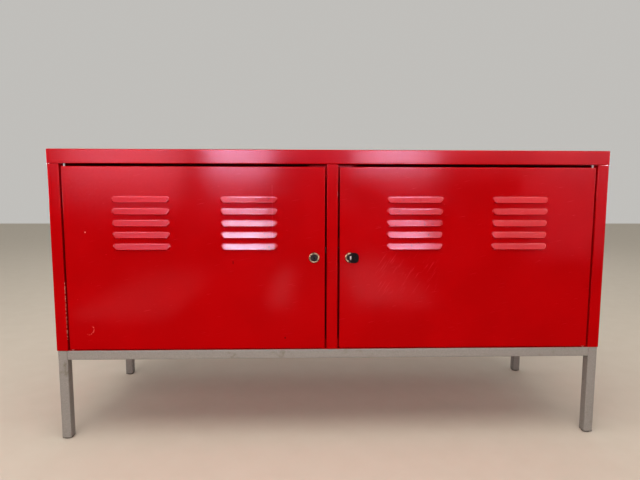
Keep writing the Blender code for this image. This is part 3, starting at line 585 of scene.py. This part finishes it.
def addRod(bm, radius, start, end, steps=48):
    start, end = Vector(start), Vector(end)
    along = end - start
    place = Matrix.Translation((start + end) / 2) @ along.to_track_quat("Z", "Y").to_matrix().to_4x4()
    bmesh.ops.create_cone(
        bm, cap_ends=True, segments=steps, radius1=radius, radius2=radius, depth=along.length, matrix=place
    )


def arc(centre, radius, start, end, steps):
    turns = [start + (end - start) * i / steps for i in range(steps + 1)]
    return [(centre[0] + radius * math.cos(a), centre[1] + radius * math.sin(a)) for a in turns]


def filleted(points, radius, steps=4, closed=True):
    # Rounds each corner of an outline by up to the radius.
    done = []
    count = len(points)
    for i in range(count):
        here = Vector(points[i])
        if not closed and i in (0, count - 1):
            done.append(tuple(here))
            continue
        before, after = Vector(points[i - 1]) - here, Vector(points[(i + 1) % count]) - here
        turn = before.angle(after)
        if turn > math.radians(170):
            done.append(tuple(here))
            continue
        reach = min(radius / math.tan(turn / 2), before.length * 0.45, after.length * 0.45)
        first, last = here + before.normalized() * reach, here + after.normalized() * reach
        for step in range(steps + 1):
            t = step / steps
            done.append(tuple(first * (1 - t) ** 2 + here * 2 * t * (1 - t) + last * t**2))
    return done


def loft(loops, hollow=False):
    # Loops are (outline, height) pairs. A hollow loft joins its last loop back to its first.
    bm = bmesh.new()
    rings = [[bm.verts.new((x, y, z)) for x, y in outline] for outline, z in loops]
    pairs = list(zip(rings, rings[1:]))
    if hollow:
        pairs.append((rings[-1], rings[0]))
    else:
        bm.faces.new(rings[0])
        bm.faces.new(rings[-1])
    for low, high in pairs:
        for i in range(len(low)):
            j = (i + 1) % len(low)
            bm.faces.new((low[i], low[j], high[j], high[i]))
    bmesh.ops.recalc_face_normals(bm, faces=bm.faces)
    return bm


def circle(radius, steps=64):
    turns = [4 * quarter * i / steps for i in range(steps)]
    return [(radius * math.cos(a), radius * math.sin(a)) for a in turns]


def turned(profile, fillet=0.25 * mm, hollow=False, steps=64):
    # The profile is (radius, height) pairs, and its corners are slightly rounded.
    soft = filleted(profile, fillet, closed=hollow)
    return loft([(circle(radius, steps), height) for radius, height in soft], hollow)


def prism(outline, low, high):
    return loft([(outline, low), (outline, high)])


def foldedSurface(points, faces):
    # The faces are the sheet's outer skin, and every edge where two of them meet at an angle is a fold.
    bm = bmesh.new()
    corners = [bm.verts.new(p) for p in points]
    for face in faces:
        bm.faces.new([corners[i] for i in face])
    bm.normal_update()
    folds = [e for e in bm.edges if len(e.link_faces) == 2 and e.calc_face_angle() > math.radians(20)]
    bmesh.ops.bevel(
        bm, geom=folds, offset=sheet["bend"] * mm, segments=sheet["bendSteps"], profile=0.5, affect="EDGES"
    )
    return bm


def thicken(obj, thickness=sheet["thickness"]):
    wall = obj.modifiers.new("sheet", "SOLIDIFY")
    wall.thickness = thickness * mm
    wall.offset = -1
    wall.use_even_offset = True
    wall.use_quality_normals = True


def foldedPan(size, depth, lips, mitred=False):
    # A tray upside down: face at Z 0, walls down to -depth, and lips turned in, given for
    # the sides at -Y, +X, +Y and -X.
    halfX, halfY = size[0] / 2, size[1] / 2
    points = [Vector((sx * halfX, sy * halfY, 0)) for sx, sy in ((-1, -1), (1, -1), (1, 1), (-1, 1))]
    points += [p - Vector((0, 0, depth)) for p in points]
    faces = [(0, 1, 2, 3)]
    for i, lip in enumerate(lips):
        j = (i + 1) % 4
        if not lip:
            faces.append((i, 4 + i, 4 + j, j))
            continue
        along = (points[j] - points[i]).normalized()
        inward = Vector((-along.y, along.x, 0))
        first = points[4 + i] + along * sheet["relief"] * mm
        last = points[4 + j] - along * sheet["relief"] * mm
        mitre = along * lip if mitred else Vector()
        n = len(points)
        points += [first, last, first + inward * lip + mitre, last + inward * lip - mitre]
        faces.append((i, 4 + i, n, n + 1, 4 + j, j))
        faces.append((n, n + 2, n + 3, n + 1))
    return foldedSurface(points, faces)


def foldedStrip(section, length):
    # A section in XY, folded along Z.
    points = [(x, y, z) for z in (-length / 2, length / 2) for x, y in section]
    n = len(section)
    return foldedSurface(points, [(i, i + 1, n + i + 1, n + i) for i in range(n - 1)])


# Carcass

carcass = {
    "capLip": 15,
    "stile": 24,
    "stileReturn": 36,
    "backReturn": 20,
    "centreStile": 24,
    "dividerFlange": 15,
    "floorSetback": 21,
    "sillSetback": 2,
    "pegHole": 2.3,  # radius
    "slotRows": 5,
    "slotPitch": 25,
    "slotHeight": 6.5,
    "slotWidth": 8.6,
    "camClearance": 1.2,  # round the cam in the slot that it locks into
    "gap": 0.3,
}
gap = carcass["gap"] * mm
wallThickness = sheet["thickness"] * mm
stileEdge = sideX - carcass["stile"] * mm
centreHalf = carcass["centreStile"] / 2 * mm
clipFront, clipBack = (
    sum((p.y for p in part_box(f"right_{end}_inner_shelf_clip"))) / 2 for end in ("front", "back")
)
shelfHook = {"neck": 4, "thickness": 2, "end": 10}  # down from a clip's ledge
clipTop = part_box("right_front_inner_shelf_clip")[1].z
slotLow = clipTop - (shelfHook["neck"] + shelfHook["thickness"]) * mm - gap  # foot of the middle slots


def addShelfSlots(bm, lowX, highX):
    half = carcass["slotWidth"] / 2 * mm
    for y in (clipFront, clipBack):
        for row in range(carcass["slotRows"]):
            z = slotLow + (row - (carcass["slotRows"] - 1) / 2) * carcass["slotPitch"] * mm
            addBox(bm, (lowX, y - half, z), (highX, y + half, z + carcass["slotHeight"] * mm))


def makeTopPanel():
    size = (capHigh.x - capLow.x, capHigh.y - capLow.y)
    bm = foldedPan(size, capHigh.z - capLow.z, [carcass["capLip"] * mm] * 4, mitred=True)
    middle = (capLow + capHigh) / 2
    cap = newObject("cap", bm, Matrix.Translation((0, middle.y, capHigh.z)))
    thicken(cap)
    holes = bmesh.new()
    for side in sides.values():
        at = Vector((side * hinge.x, hinge.y, capLow.z))
        addRod(holes, carcass["pegHole"] * mm, at - Vector((0, 0, past)), at + Vector((0, 0, 2 * past)))
    cut(cap, holes)
    finishPiece(cap, red, "carcass", "top_panel")


def makeSidePanel(name, side):
    low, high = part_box(name + "_side_panel")
    height, depth = high.z - low.z, high.y - low.y
    lips = (carcass["stileReturn"] * mm, 0, carcass["backReturn"] * mm, 0)
    bm = foldedPan((height, depth), carcass["stile"] * mm, lips)
    middle = Matrix.Translation((side * sideX, (low.y + high.y) / 2, (low.z + high.z) / 2))
    panel = newObject(name + "_side", bm, middle @ Matrix.Rotation(side * quarter, 4, "Y"))
    thicken(panel)
    holes = bmesh.new()
    addShelfSlots(holes, side * stileEdge - 2 * past, side * stileEdge + 2 * past)
    cut(panel, holes)
    finishPiece(panel, red, "carcass", name + "_side_panel")


def makeBottomPanel():
    low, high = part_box("bottom_panel")
    setback = frontY + carcass["floorSetback"] * mm
    backY = high.y
    sillZ, floorZ = low.z, high.z - wallThickness
    section = [
        (frontY + carcass["sillSetback"] * mm, sillZ),
        (setback, sillZ),
        (setback, floorZ),
        (backY - wallThickness, floorZ),
        (backY - wallThickness, sillZ + wallThickness),
        (panelHigh.y - carcass["dividerFlange"] * mm, sillZ + wallThickness),
    ]
    turn = Matrix.Rotation(quarter, 4, "Z") @ Matrix.Rotation(quarter, 4, "X")
    floor = newObject("compartment_floor", foldedStrip(section, high.x - low.x), turn)
    thicken(floor)
    holes = bmesh.new()
    for side in sides.values():
        at = Vector((side * hinge.x, hinge.y, sillZ))
        addRod(holes, carcass["pegHole"] * mm, at - Vector((0, 0, 2 * past)), at + Vector((0, 0, 2 * past)))
    cut(floor, holes)
    finishPiece(floor, red, "carcass", "bottom_panel")


def makeDivider():
    low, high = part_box("divider")
    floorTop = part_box("bottom_panel")[1].z
    stopLow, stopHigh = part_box("door_stop_bracket")
    camLow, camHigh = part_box("right_lock_cam")
    flange = high.x
    back = high.y - wallThickness
    section = [(-flange, back), (-centreHalf, back), (-centreHalf, frontY)]
    section += [(-x, y) for x, y in reversed(section)]
    place = Matrix.Translation((0, 0, (low.z + high.z) / 2))
    post = newObject("centre_post", foldedStrip(section, high.z - low.z), place)
    thicken(post)
    cuts = bmesh.new()
    wide = flange + past
    front = frontY + carcass["floorSetback"] * mm - wallThickness - gap
    addBox(cuts, (-wide, front, low.z - past), (wide, high.y + past, floorTop + gap))
    addBox(cuts, (-wide, stopLow.y - gap, stopLow.z - gap), (wide, stopHigh.y + gap, high.z + past))
    width = camHigh.x - camLow.x
    reach, wall = lockAt.z - camLow.z, lockAt.x - centreHalf
    drop = math.sqrt(reach**2 - (wall - wallThickness) ** 2) + width / 2
    clear = carcass["camClearance"] * mm
    slotBottom = (-wide, camLow.y - clear, lockAt.z - drop - clear)
    addBox(cuts, slotBottom, (wide, camHigh.y + clear, lockAt.z + width / 2 + clear))
    addShelfSlots(cuts, -centreHalf - past, centreHalf + past)
    cut(post, cuts)
    finishPiece(post, red, "carcass", "divider")


backPanel = {"outletLength": 70, "outletHeight": 30, "outletAbove": 60}


def makeBackPanel(name, side):
    low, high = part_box(name + "_back_panel")
    bm = bmesh.new()
    addBox(bm, low, high)
    panel = newObject(name + "_back", bm)
    radius = backPanel["outletHeight"] / 2 * mm
    reach = backPanel["outletLength"] / 2 * mm - radius
    outline = arc((reach, 0), radius, -quarter, quarter, 20)
    outline += arc((-reach, 0), radius, quarter, 3 * quarter, 20)
    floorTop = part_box("bottom_panel")[1].z
    place = facingFront((low.x + high.x) / 2, floorTop + backPanel["outletAbove"] * mm, high.y)
    cut(panel, prism(outline, -2 * past, 2 * past), place)
    bevelEdges(panel, 0.15, 2)
    finishPiece(panel, red, "carcass", name + "_back_panel")


doorStop = {"ear": 11, "earHeight": 5.5, "thickness": 1.2}


def makeDoorStop():
    low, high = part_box("door_stop_bracket")
    ear, earHeight = doorStop["ear"] * mm, doorStop["earHeight"] * mm
    y, foot = low.y, high.y
    points = [
        (low.x, y, high.z),
        (low.x, y, low.z),
        (high.x - ear, y, low.z),
        (high.x - ear, y, high.z - earHeight),
        (high.x, y, high.z),
        (high.x, foot, high.z),
        (low.x, foot, high.z),
    ]
    bracket = newObject("stop_bracket", foldedSurface(points, [(0, 1, 2, 3, 4), (0, 4, 5, 6)]))
    thicken(bracket, doorStop["thickness"])
    bevelEdges(bracket, 0.2, 2, 60)
    finishPiece(bracket, red, "carcass", "door_stop_bracket")


makeTopPanel()
makeBottomPanel()
makeDivider()
makeDoorStop()
for sideName, side in sides.items():
    makeSidePanel(sideName, side)
    makeBackPanel(sideName, side)
print("carcass made")


# Base frame

tube = {"side": 20, "wall": 1.2, "round": 2, "edge": 0.25}
glideFoot = {
    "stem": 3,  # radius
    "plugFlange": 1.2,
    "plugEdge": 0.4,
    "dish": 0.5,  # hollow under the foot
    "dishFrom": 0.55,  # shares of the foot's radius
    "dishTo": 0.7,
}


def roundedSquare(side, radius, steps=7):
    centre = side / 2 - radius
    points = []
    for i, (sx, sy) in enumerate(((1, 1), (-1, 1), (-1, -1), (1, -1))):
        points += arc((sx * centre, sy * centre), radius, i * quarter, (i + 1) * quarter, steps)
    return points


def makeTube(name, node):
    low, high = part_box(node)
    size = high - low
    axis = max(range(3), key=lambda i: size[i])
    length = size[axis]
    outer = roundedSquare(tube["side"] * mm, tube["round"] * mm)
    inner = roundedSquare((tube["side"] - 2 * tube["wall"]) * mm, (tube["round"] - tube["wall"]) * mm)
    half = length / 2
    soft = tube["edge"] * mm
    eased = roundedSquare(tube["side"] * mm - 2 * soft, tube["round"] * mm)
    loops = [
        (eased, -half),
        (outer, soft - half),
        (outer, half - soft),
        (eased, half),
        (inner, half),
        (inner, -half),
    ]
    turn = (Matrix.Rotation(quarter, 4, "Y"), Matrix.Rotation(-quarter, 4, "X"), Matrix())[axis]
    made = newObject(name, loft(loops, hollow=True), Matrix.Translation((low + high) / 2) @ turn)
    if node == "front_rail":
        holes = bmesh.new()
        for side in sides.values():
            at = (side * hinge.x, hinge.y)
            addRod(holes, carcass["pegHole"] * mm, (*at, (low.z + high.z) / 2), (*at, high.z + past))
        cut(made, holes)
    finishPiece(made, grey, "carcass", node)


def makeLegEnds(corner):
    low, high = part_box(corner + "_leg_plug")
    x, y = (low.x + high.x) / 2, (low.y + high.y) / 2
    flange, edge = glideFoot["plugFlange"] * mm, glideFoot["plugEdge"] * mm
    inside = (tube["side"] - 2 * tube["wall"]) * mm
    outer = roundedSquare(tube["side"] * mm, tube["round"] * mm)
    eased = roundedSquare(tube["side"] * mm - 2 * edge, tube["round"] * mm)
    insert = roundedSquare(inside - 2 * gap, (tube["round"] - tube["wall"]) * mm)
    stem = glideFoot["stem"] * mm
    bore = circle(stem + gap, len(outer))
    height = high.z - low.z
    loops = [
        (eased, 0),
        (outer, edge),
        (outer, flange),
        (insert, flange),
        (insert, height),
        (bore, height),
        (bore, 0),
    ]
    plug = newObject(corner + "_plug", loft(loops, hollow=True), Matrix.Translation((x, y, low.z)))
    finishPiece(plug, greyPlastic, "carcass", corner + "_leg_plug")
    footLow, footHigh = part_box(corner + "_foot")
    radius, top = (footHigh.x - footLow.x) / 2, low.z - gap
    profile = [
        (radius * glideFoot["dishFrom"], glideFoot["dish"] * mm),
        (radius * glideFoot["dishTo"], 0),
        (radius, 0),
        (radius, top),
        (stem, top),
        (stem, footHigh.z),
    ]
    glide = newObject(corner + "_glide", turned(profile, 0.6 * mm), Matrix.Translation((x, y, 0)))
    finishPiece(glide, greyPlastic, corner + "_foot", corner + "_foot")


for railName in ("front", "back", "left", "right"):
    makeTube(railName + "_tube", railName + "_rail")
for corner in ("front_left", "front_right", "back_left", "back_right"):
    makeTube(corner + "_tube", corner + "_leg")
    makeLegEnds(corner)
print("base frame made")


# Doors

door = {
    "depth": 18,
    "lip": 10,
    "bushHole": 3.1,
    "lockHole": 9.6,
}
louvre = {
    "columns": 2,
    "rows": 5,
    "spacing": 227,
    "pitch": 25,
    "belowTop": 63.5,
    "length": 120,
    "height": 12,
    "rise": 4.3,
    "taper": 3.2,
    "endRound": 3,
    "soft": 0.9,  # radius of its creases
    "step": 1,
    "endZone": 9,  # length of the fine cuts at each end
    "coarseStep": 15,
    "margin": 2,  # fine cuts above the fold
}


def smoothMin(a, b, k):
    h = max(0, min(1, 0.5 + 0.5 * (b - a) / k))
    return b + (a - b) * h - k * h * (1 - h)


def hoodHeight(x, down):
    # How far the hood stands out, at x from its middle and down from its fold line, in mm.
    half, height = louvre["length"] / 2, louvre["height"]
    face = louvre["rise"] * down / height
    inset = louvre["endRound"] * (2 * down / height - 1) ** 2
    end = louvre["rise"] * (half - abs(x) - inset) / louvre["taper"]
    rise = smoothMin(face, end, louvre["soft"])
    return -smoothMin(-rise, 0, louvre["soft"] * 0.6)


def spread(low, high, step):
    count = max(1, round((high - low) / step))
    return [low + (high - low) * i / count for i in range(count + 1)]


def cutAlong(bm, axis, values):
    normal = Vector((0, 0, 0))
    normal[axis] = 1
    for value in values:
        everything = [*bm.verts, *bm.edges, *bm.faces]
        at = normal * value * mm
        bmesh.ops.bisect_plane(bm, geom=everything, dist=1e-7, plane_co=at, plane_no=normal)


def pressLouvres(bm, size):
    # Cuts the sheet into strips, opens a slit under each hood and draws the hood out of it.
    half = louvre["length"] / 2
    end = half - louvre["endRound"]
    middles = [(c - (louvre["columns"] - 1) / 2) * louvre["spacing"] for c in range(louvre["columns"])]
    tops = [size[1] / 2 / mm - louvre["belowTop"] - r * louvre["pitch"] for r in range(louvre["rows"])]
    across = []
    tooClose = 0.3
    for m in middles:
        fine = spread(end - louvre["endZone"], half + louvre["step"], louvre["step"])
        fine = [x for x in fine if abs(x - end) > tooClose] + [end]
        across += [m + s * x for x in fine for s in (-1, 1)]
        straight = end - louvre["endZone"]
        across += [m + x for x in spread(-straight, straight, louvre["coarseStep"])[1:-1]]
    down = [top - d for top in tops for d in spread(-louvre["margin"], louvre["height"], louvre["step"])]
    cutAlong(bm, 0, across)
    cutAlong(bm, 1, down)
    slits = []
    near = 1e-6
    for edge in bm.edges:
        a, b = edge.verts
        if abs(a.co.z) > near or abs(b.co.z) > near or abs(a.co.y - b.co.y) > near:
            continue
        onSlit = any(abs(a.co.y - (top - louvre["height"]) * mm) < near for top in tops)
        inHood = any(max(abs(v.co.x - m * mm) for v in (a, b)) < end * mm + near for m in middles)
        if onSlit and inHood:
            slits.append(edge)
    bmesh.ops.split_edges(bm, edges=slits)
    lifts = {}
    for face in [f for f in bm.faces if abs(f.calc_center_median().z) < near]:
        centre = face.calc_center_median()
        for m in middles:
            for top in tops:
                x, drop = centre.x / mm - m, top - centre.y / mm
                if abs(x) < half + louvre["step"] and -louvre["margin"] < drop < louvre["height"]:
                    for v in face.verts:
                        lifts[v] = (v.co.x / mm - m, top - v.co.y / mm)
    for v, (x, drop) in lifts.items():
        joined = abs(drop - louvre["height"]) < 1e-3 and abs(x) > end - 1e-3
        if not joined:
            v.co.z += hoodHeight(x, drop) * mm


def makeDoor(name, side):
    low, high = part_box(name + "_door")
    size = (high.x - low.x, high.z - low.z)
    middle = Vector(((low.x + high.x) / 2, frontY, (low.z + high.z) / 2))
    bm = foldedPan(size, door["depth"] * mm, [door["lip"] * mm] * 4, mitred=True)
    pressLouvres(bm, size)
    leaf = newObject(name + "_leaf", bm, facingFront(middle.x, middle.z))
    thicken(leaf)
    holes = bmesh.new()
    x, y = side * hinge.x, hinge.y
    for z in (low.z, high.z):
        addRod(holes, door["bushHole"] * mm, (x, y, z - 2 * past), (x, y, z + 2 * past))
    x, z = side * lockAt.x, lockAt.z
    addRod(holes, door["lockHole"] * mm, (x, frontY - 2 * past, z), (x, frontY + 2 * past, z))
    cut(leaf, holes)
    finishPiece(leaf, red, name + "_door", name + "_door")


for sideName, side in sides.items():
    makeDoor(sideName, side)
print("doors made")


# Hinges

bush = {"bore": 2.15, "radius": 2.8, "flange": 3.3, "seat": 1.1, "flangeThickness": 1.2, "length": 7}
peg = {"radius": 2, "head": 4, "headThickness": 2, "collar": 3.2}


def makeHinges(name, side):
    x, y = side * hinge.x, hinge.y
    doorLow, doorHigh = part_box(name + "_door")
    seat, thick = bush["seat"] * mm, bush["flangeThickness"] * mm
    profile = [
        (bush["bore"] * mm, 0),
        (bush["radius"] * mm, 0),
        (bush["radius"] * mm, seat),
        (bush["flange"] * mm, seat),
        (bush["flange"] * mm, seat + thick),
        (bush["radius"] * mm, seat + thick),
        (bush["radius"] * mm, bush["length"] * mm),
        (bush["bore"] * mm, bush["length"] * mm),
    ]
    for end, z, turn in (("upper", doorHigh.z, 2 * quarter), ("lower", doorLow.z, 0)):
        place = Matrix.Translation((x, y, z)) @ Matrix.Rotation(turn, 4, "X")
        made = newObject(f"{name}_{end}_bush", turned(profile, 0.2 * mm, hollow=True, steps=40), place)
        finishPiece(made, nylon, name + "_door", f"{name}_{end}_hinge_bush")
    upperLow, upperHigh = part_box(name + "_upper_hinge_peg")
    radius, head = peg["radius"] * mm, peg["head"] * mm
    seatZ = upperHigh.z - peg["headThickness"] * mm
    upper = [(radius, upperLow.z), (radius, seatZ), (head, seatZ), (head, upperHigh.z)]
    lowerLow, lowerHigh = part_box(name + "_lower_hinge_peg")
    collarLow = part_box("bottom_panel")[0].z + wallThickness + gap
    collarHigh = doorLow.z - gap
    collar = peg["collar"] * mm
    lower = [
        (radius, lowerLow.z),
        (radius, collarLow),
        (collar, collarLow),
        (collar, collarHigh),
        (radius, collarHigh),
        (radius, lowerHigh.z),
    ]
    place = Matrix.Translation((x, y, 0))
    for end, points in (("upper", upper), ("lower", lower)):
        made = newObject(f"{name}_{end}_peg", turned(points, 0.4 * mm, steps=40), place)
        finishPiece(made, nylon, "carcass", f"{name}_{end}_hinge_peg")


for sideName, side in sides.items():
    makeHinges(sideName, side)
print("hinges made")


# Locks

lock = {
    "radius": 9.3,
    "length": 19,
    "rose": 11.5,
    "roseFront": 2.3,
    "roseBevel": 1.1,
    "headRadius": 7.7,
    "bore": 6.3,
    "plugRadius": 6,
    "plugFace": 1.5,
    "headBack": -0.7,
    "rim": 1,
    "shank": 7,
    "shankRound": 0.5,
    "keywayWidth": 2.4,
    "keywayHeight": 8.6,
    "keywayDepth": 13,
    "nutAcross": 23,
    "nutThickness": 3,
    "camWidth": 13,
    "camThickness": 2,
    "camReach": 33,
    "camHeel": 8,
    "screwRadius": 2,
    "screwLength": 4.5,
    "screwHead": 5,
    "screwHeadThickness": 2.4,
    "recessWidth": 1.1,
}


def makeLock(name, side):
    place = facingFront(side * lockAt.x, lockAt.z)
    s = {key: value * mm for key, value in lock.items()}
    shoulder = s["headBack"] - gap
    housing = [
        (s["bore"], -s["length"]),
        (s["radius"], -s["length"]),
        (s["radius"], gap),
        (s["rose"], gap),
        (s["rose"], s["roseFront"] - s["roseBevel"]),
        (s["rose"] - s["roseBevel"], s["roseFront"]),
        (s["headRadius"] + gap, s["roseFront"]),
        (s["headRadius"] + gap, shoulder),
        (s["bore"], shoulder),
    ]
    made = newObject(name + "_lock_body", turned(housing, 0.3 * mm, hollow=True, steps=96), place)
    finishPiece(made, chrome, name + "_door", name + "_lock_housing")
    back = -wallThickness - gap
    hexagon = circle(s["nutAcross"] / math.sqrt(3), 6)
    nut = newObject(name + "_nut", prism(hexagon, back - s["nutThickness"], back), place)
    bore = bmesh.new()
    thick = s["nutThickness"]
    addRod(bore, s["radius"] + gap, (0, 0, back - 2 * thick), (0, 0, back + thick), 64)
    cut(nut, bore, place)
    bevelEdges(nut, 0.35, 2)
    finishPiece(nut, zinc, name + "_door", name + "_lock_nut")
    camFront = -s["length"] - gap
    camBack = camFront - s["camThickness"]
    half = s["shank"] / 2
    plugProfile = [
        (s["headRadius"], s["headBack"]),
        (s["plugRadius"], s["headBack"]),
        (s["plugRadius"], camFront + gap),
    ]
    rim = [(s["headRadius"] - s["rim"], s["plugFace"]), (s["headRadius"], s["plugFace"])]
    face = filleted(rim + plugProfile, 0.35 * mm, closed=False)
    square = roundedSquare(s["shank"], s["shankRound"], 15)  # as many points as the circles
    loops = [(circle(radius), height) for radius, height in face]
    loops += [(square, camFront + gap), (square, camBack + gap)]
    plug = newObject(name + "_plug", loft(loops), place)
    keyway = bmesh.new()
    halfWidth, halfHeight = s["keywayWidth"] / 2, s["keywayHeight"] / 2
    addBox(keyway, (-halfWidth, -halfHeight, -s["keywayDepth"]), (halfWidth, halfHeight, s["roseFront"]))
    cut(plug, keyway, place)
    finishPiece(plug, nickel, name + "_lock", name + "_lock_plug")
    radius = s["camWidth"] / 2
    outline = arc((0, s["camHeel"] - radius), radius, 0, 2 * quarter, 20)
    outline += arc((0, radius - s["camReach"]), radius, 2 * quarter, 4 * quarter, 20)
    cam = newObject(name + "_cam", prism(outline, camBack, camFront), place)
    hole = bmesh.new()
    wide = half + gap
    addBox(hole, (-wide, -wide, camBack - past), (wide, wide, camFront + past))
    cut(cam, hole, place)
    bevelEdges(cam, 0.3, 2)
    finishPiece(cam, zinc, name + "_lock", name + "_lock_cam")
    seat = camBack - gap
    screw = [
        (s["screwHead"] * 0.6, seat - s["screwHeadThickness"]),
        (s["screwHead"], seat - s["screwHeadThickness"] * 0.55),
        (s["screwHead"], seat),
        (s["screwRadius"], seat),
        (s["screwRadius"], seat + s["screwLength"]),
    ]
    made = newObject(name + "_screw", turned(screw, 0.6 * mm), place)
    arm, slot = s["screwHead"] * 0.5, s["recessWidth"] / 2
    deep, out = seat - s["screwHeadThickness"] * 0.35, seat - 2 * s["screwHeadThickness"]
    for wideX, wideY in ((arm, slot), (slot, arm)):
        recess = bmesh.new()
        addBox(recess, (-wideX, -wideY, out), (wideX, wideY, deep))
        cut(made, recess, place)
    finishPiece(made, zinc, name + "_lock", name + "_cam_screw")


for sideName, side in sides.items():
    makeLock(sideName, side)
print("locks made")


# Folding key in the right lock

key = {
    "bladeThickness": 1.8,
    "bladeHeight": 8,
    "bladeDepth": 12,
    "barrel": 2,
    "pin": 0.9,
    "thickness": 3.8,
    "height": 22,
    "length": 17.5,
    "round": 8.5,
    "ear": 2.3,
    "earHeight": 13,
    "recess": 0.5,
    "rim": 2.2,
    "ribs": 4,
    "ribSpacing": 2.2,
    "ribStart": 7.2,
    "ribRadius": 0.45,
    "ribEnds": 4.5,  # from the head's top and bottom edges
    "recessSetback": 2.6,  # from the barrel
    "ribTaper": 0.35,
}


def keyOutline(inset):
    half, ear = key["height"] / 2 - inset, key["earHeight"] / 2 - inset
    left, right, radius = -key["ear"] + inset, key["length"] - inset, key["round"] - inset
    shoulder = half - ear
    points = [(left, ear), (left, -ear), (left + shoulder, -half)]
    points = filleted(points + [(right - radius, -half)], 2, closed=False)[:-1]
    points += arc((right - radius, radius - half), radius, -quarter, 0, 12)
    points += arc((right - radius, half - radius), radius, 0, quarter, 12)
    points.append((left + shoulder, half))
    return [(x * mm, y * mm) for x, y in points]


def makeKey():
    fold = joints["key_fold"]
    eye = frontY - fold.y
    barrel, half = key["barrel"] * mm, key["bladeThickness"] / 2 * mm
    meets = math.asin(half / barrel)
    outline = [(-half, key["bladeDepth"] * mm), (half, key["bladeDepth"] * mm)]
    outline += arc((0, -eye), barrel, quarter - meets, meets - 3 * quarter, 24)
    reach = key["bladeHeight"] / 2 * mm
    place = Matrix.Translation((fold.x, frontY, fold.z))
    blade = newObject("key_shank", prism(outline, -reach, reach), place)
    bevelEdges(blade, 0.2, 2)
    finishPiece(blade, zinc, "right_lock", "key_blade")
    pinLow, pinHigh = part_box("key_pivot_pin")
    pin = turned([(key["pin"] * mm, pinLow.z), (key["pin"] * mm, pinHigh.z)], 0, steps=32)
    made = newObject("key_pin", pin, Matrix.Translation((fold.x, fold.y, 0)))
    bevelEdges(made, 0.25, 2)
    finishPiece(made, zinc, "right_lock", "key_pivot_pin")
    place = facingFront(fold.x, fold.z, fold.y)
    thick = key["thickness"] / 2 * mm
    head = newObject("key_grip", prism(keyOutline(0), -thick, thick), place)
    notch = bmesh.new()
    reach += gap
    ear = 2 * key["ear"] * mm
    addBox(notch, (-ear, -reach, -2 * thick), (barrel + gap, reach, 2 * thick))
    cut(head, notch, place)
    bevelEdges(head, 0.7, 4)
    deep = thick - key["recess"] * mm
    left = (key["barrel"] + key["recessSetback"]) * mm
    grip = [(max(x, left), y) for x, y in keyOutline(key["rim"])]
    for low, high in ((deep, 2 * thick), (-2 * thick, -deep)):
        cut(head, prism(grip, low, high), place)
    finishPiece(head, black, "key_head", "key_head")
    ribs = bmesh.new()
    for z in (deep, -deep):
        for i in range(key["ribs"]):
            x = (key["ribStart"] + i * key["ribSpacing"]) * mm
            reachY = (key["height"] / 2 - key["ribEnds"] - key["ribTaper"] * i**1.5) * mm
            addRod(ribs, key["ribRadius"] * mm, (x, -reachY, z), (x, reachY, z), 16)
    made = newObject("key_ribs", ribs, place)
    finishPiece(made, black, "key_head")


makeKey()
print("key made")


# Shelves and their clips

shelf = {"lip": 8}
clip = {"ledge": 11, "plate": 1.5, "drop": 14}


def clipOutline(into):
    # Seen from the front, from the wall's face and from the top of the ledge.
    g, t = carcass["gap"], sheet["thickness"]
    hook, plate = shelfHook, clip["plate"]
    points = [
        (g, 0),
        (clip["ledge"], 0),
        (clip["ledge"], -plate),
        (g + plate, -plate),
        (g + plate, -clip["drop"]),
        (g, -clip["drop"]),
        (g, -hook["neck"] - hook["thickness"]),
        (-t - g, -hook["neck"] - hook["thickness"]),
        (-t - g, -hook["end"]),
        (-t - g - hook["thickness"], -hook["end"]),
        (-t - g - hook["thickness"], -hook["neck"]),
        (g, -hook["neck"]),
    ]
    return [(into * x * mm, y * mm) for x, y in filleted(points, 0.6, 3)]


def makeShelf(name, side):
    low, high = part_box(name + "_shelf")
    size = (high.x - low.x, high.y - low.y)
    lips = (0, shelf["lip"] * mm, 0, shelf["lip"] * mm)
    place = Matrix.Translation(((low.x + high.x) / 2, (low.y + high.y) / 2, high.z))
    board = newObject(name + "_board", foldedPan(size, high.z - low.z, lips), place)
    thicken(board)
    finishPiece(board, red, "carcass", name + "_shelf")
    for end in ("front", "back"):
        for wall, x, into in (("inner", side * centreHalf, side), ("outer", side * stileEdge, -side)):
            node = f"{name}_{end}_{wall}_shelf_clip"
            clipLow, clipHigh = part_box(node)
            half = (clipHigh.y - clipLow.y) / 2
            made = newObject(
                f"{name}_{end}_{wall}_clip",
                prism(clipOutline(into), -half, half),
                facingFront(x, clipHigh.z, (clipLow.y + clipHigh.y) / 2),
            )
            bevelEdges(made, 0.2, 2, 50)
            finishPiece(made, zinc, "carcass", node)


for sideName, side in sides.items():
    makeShelf(sideName, side)
print("shelves made")
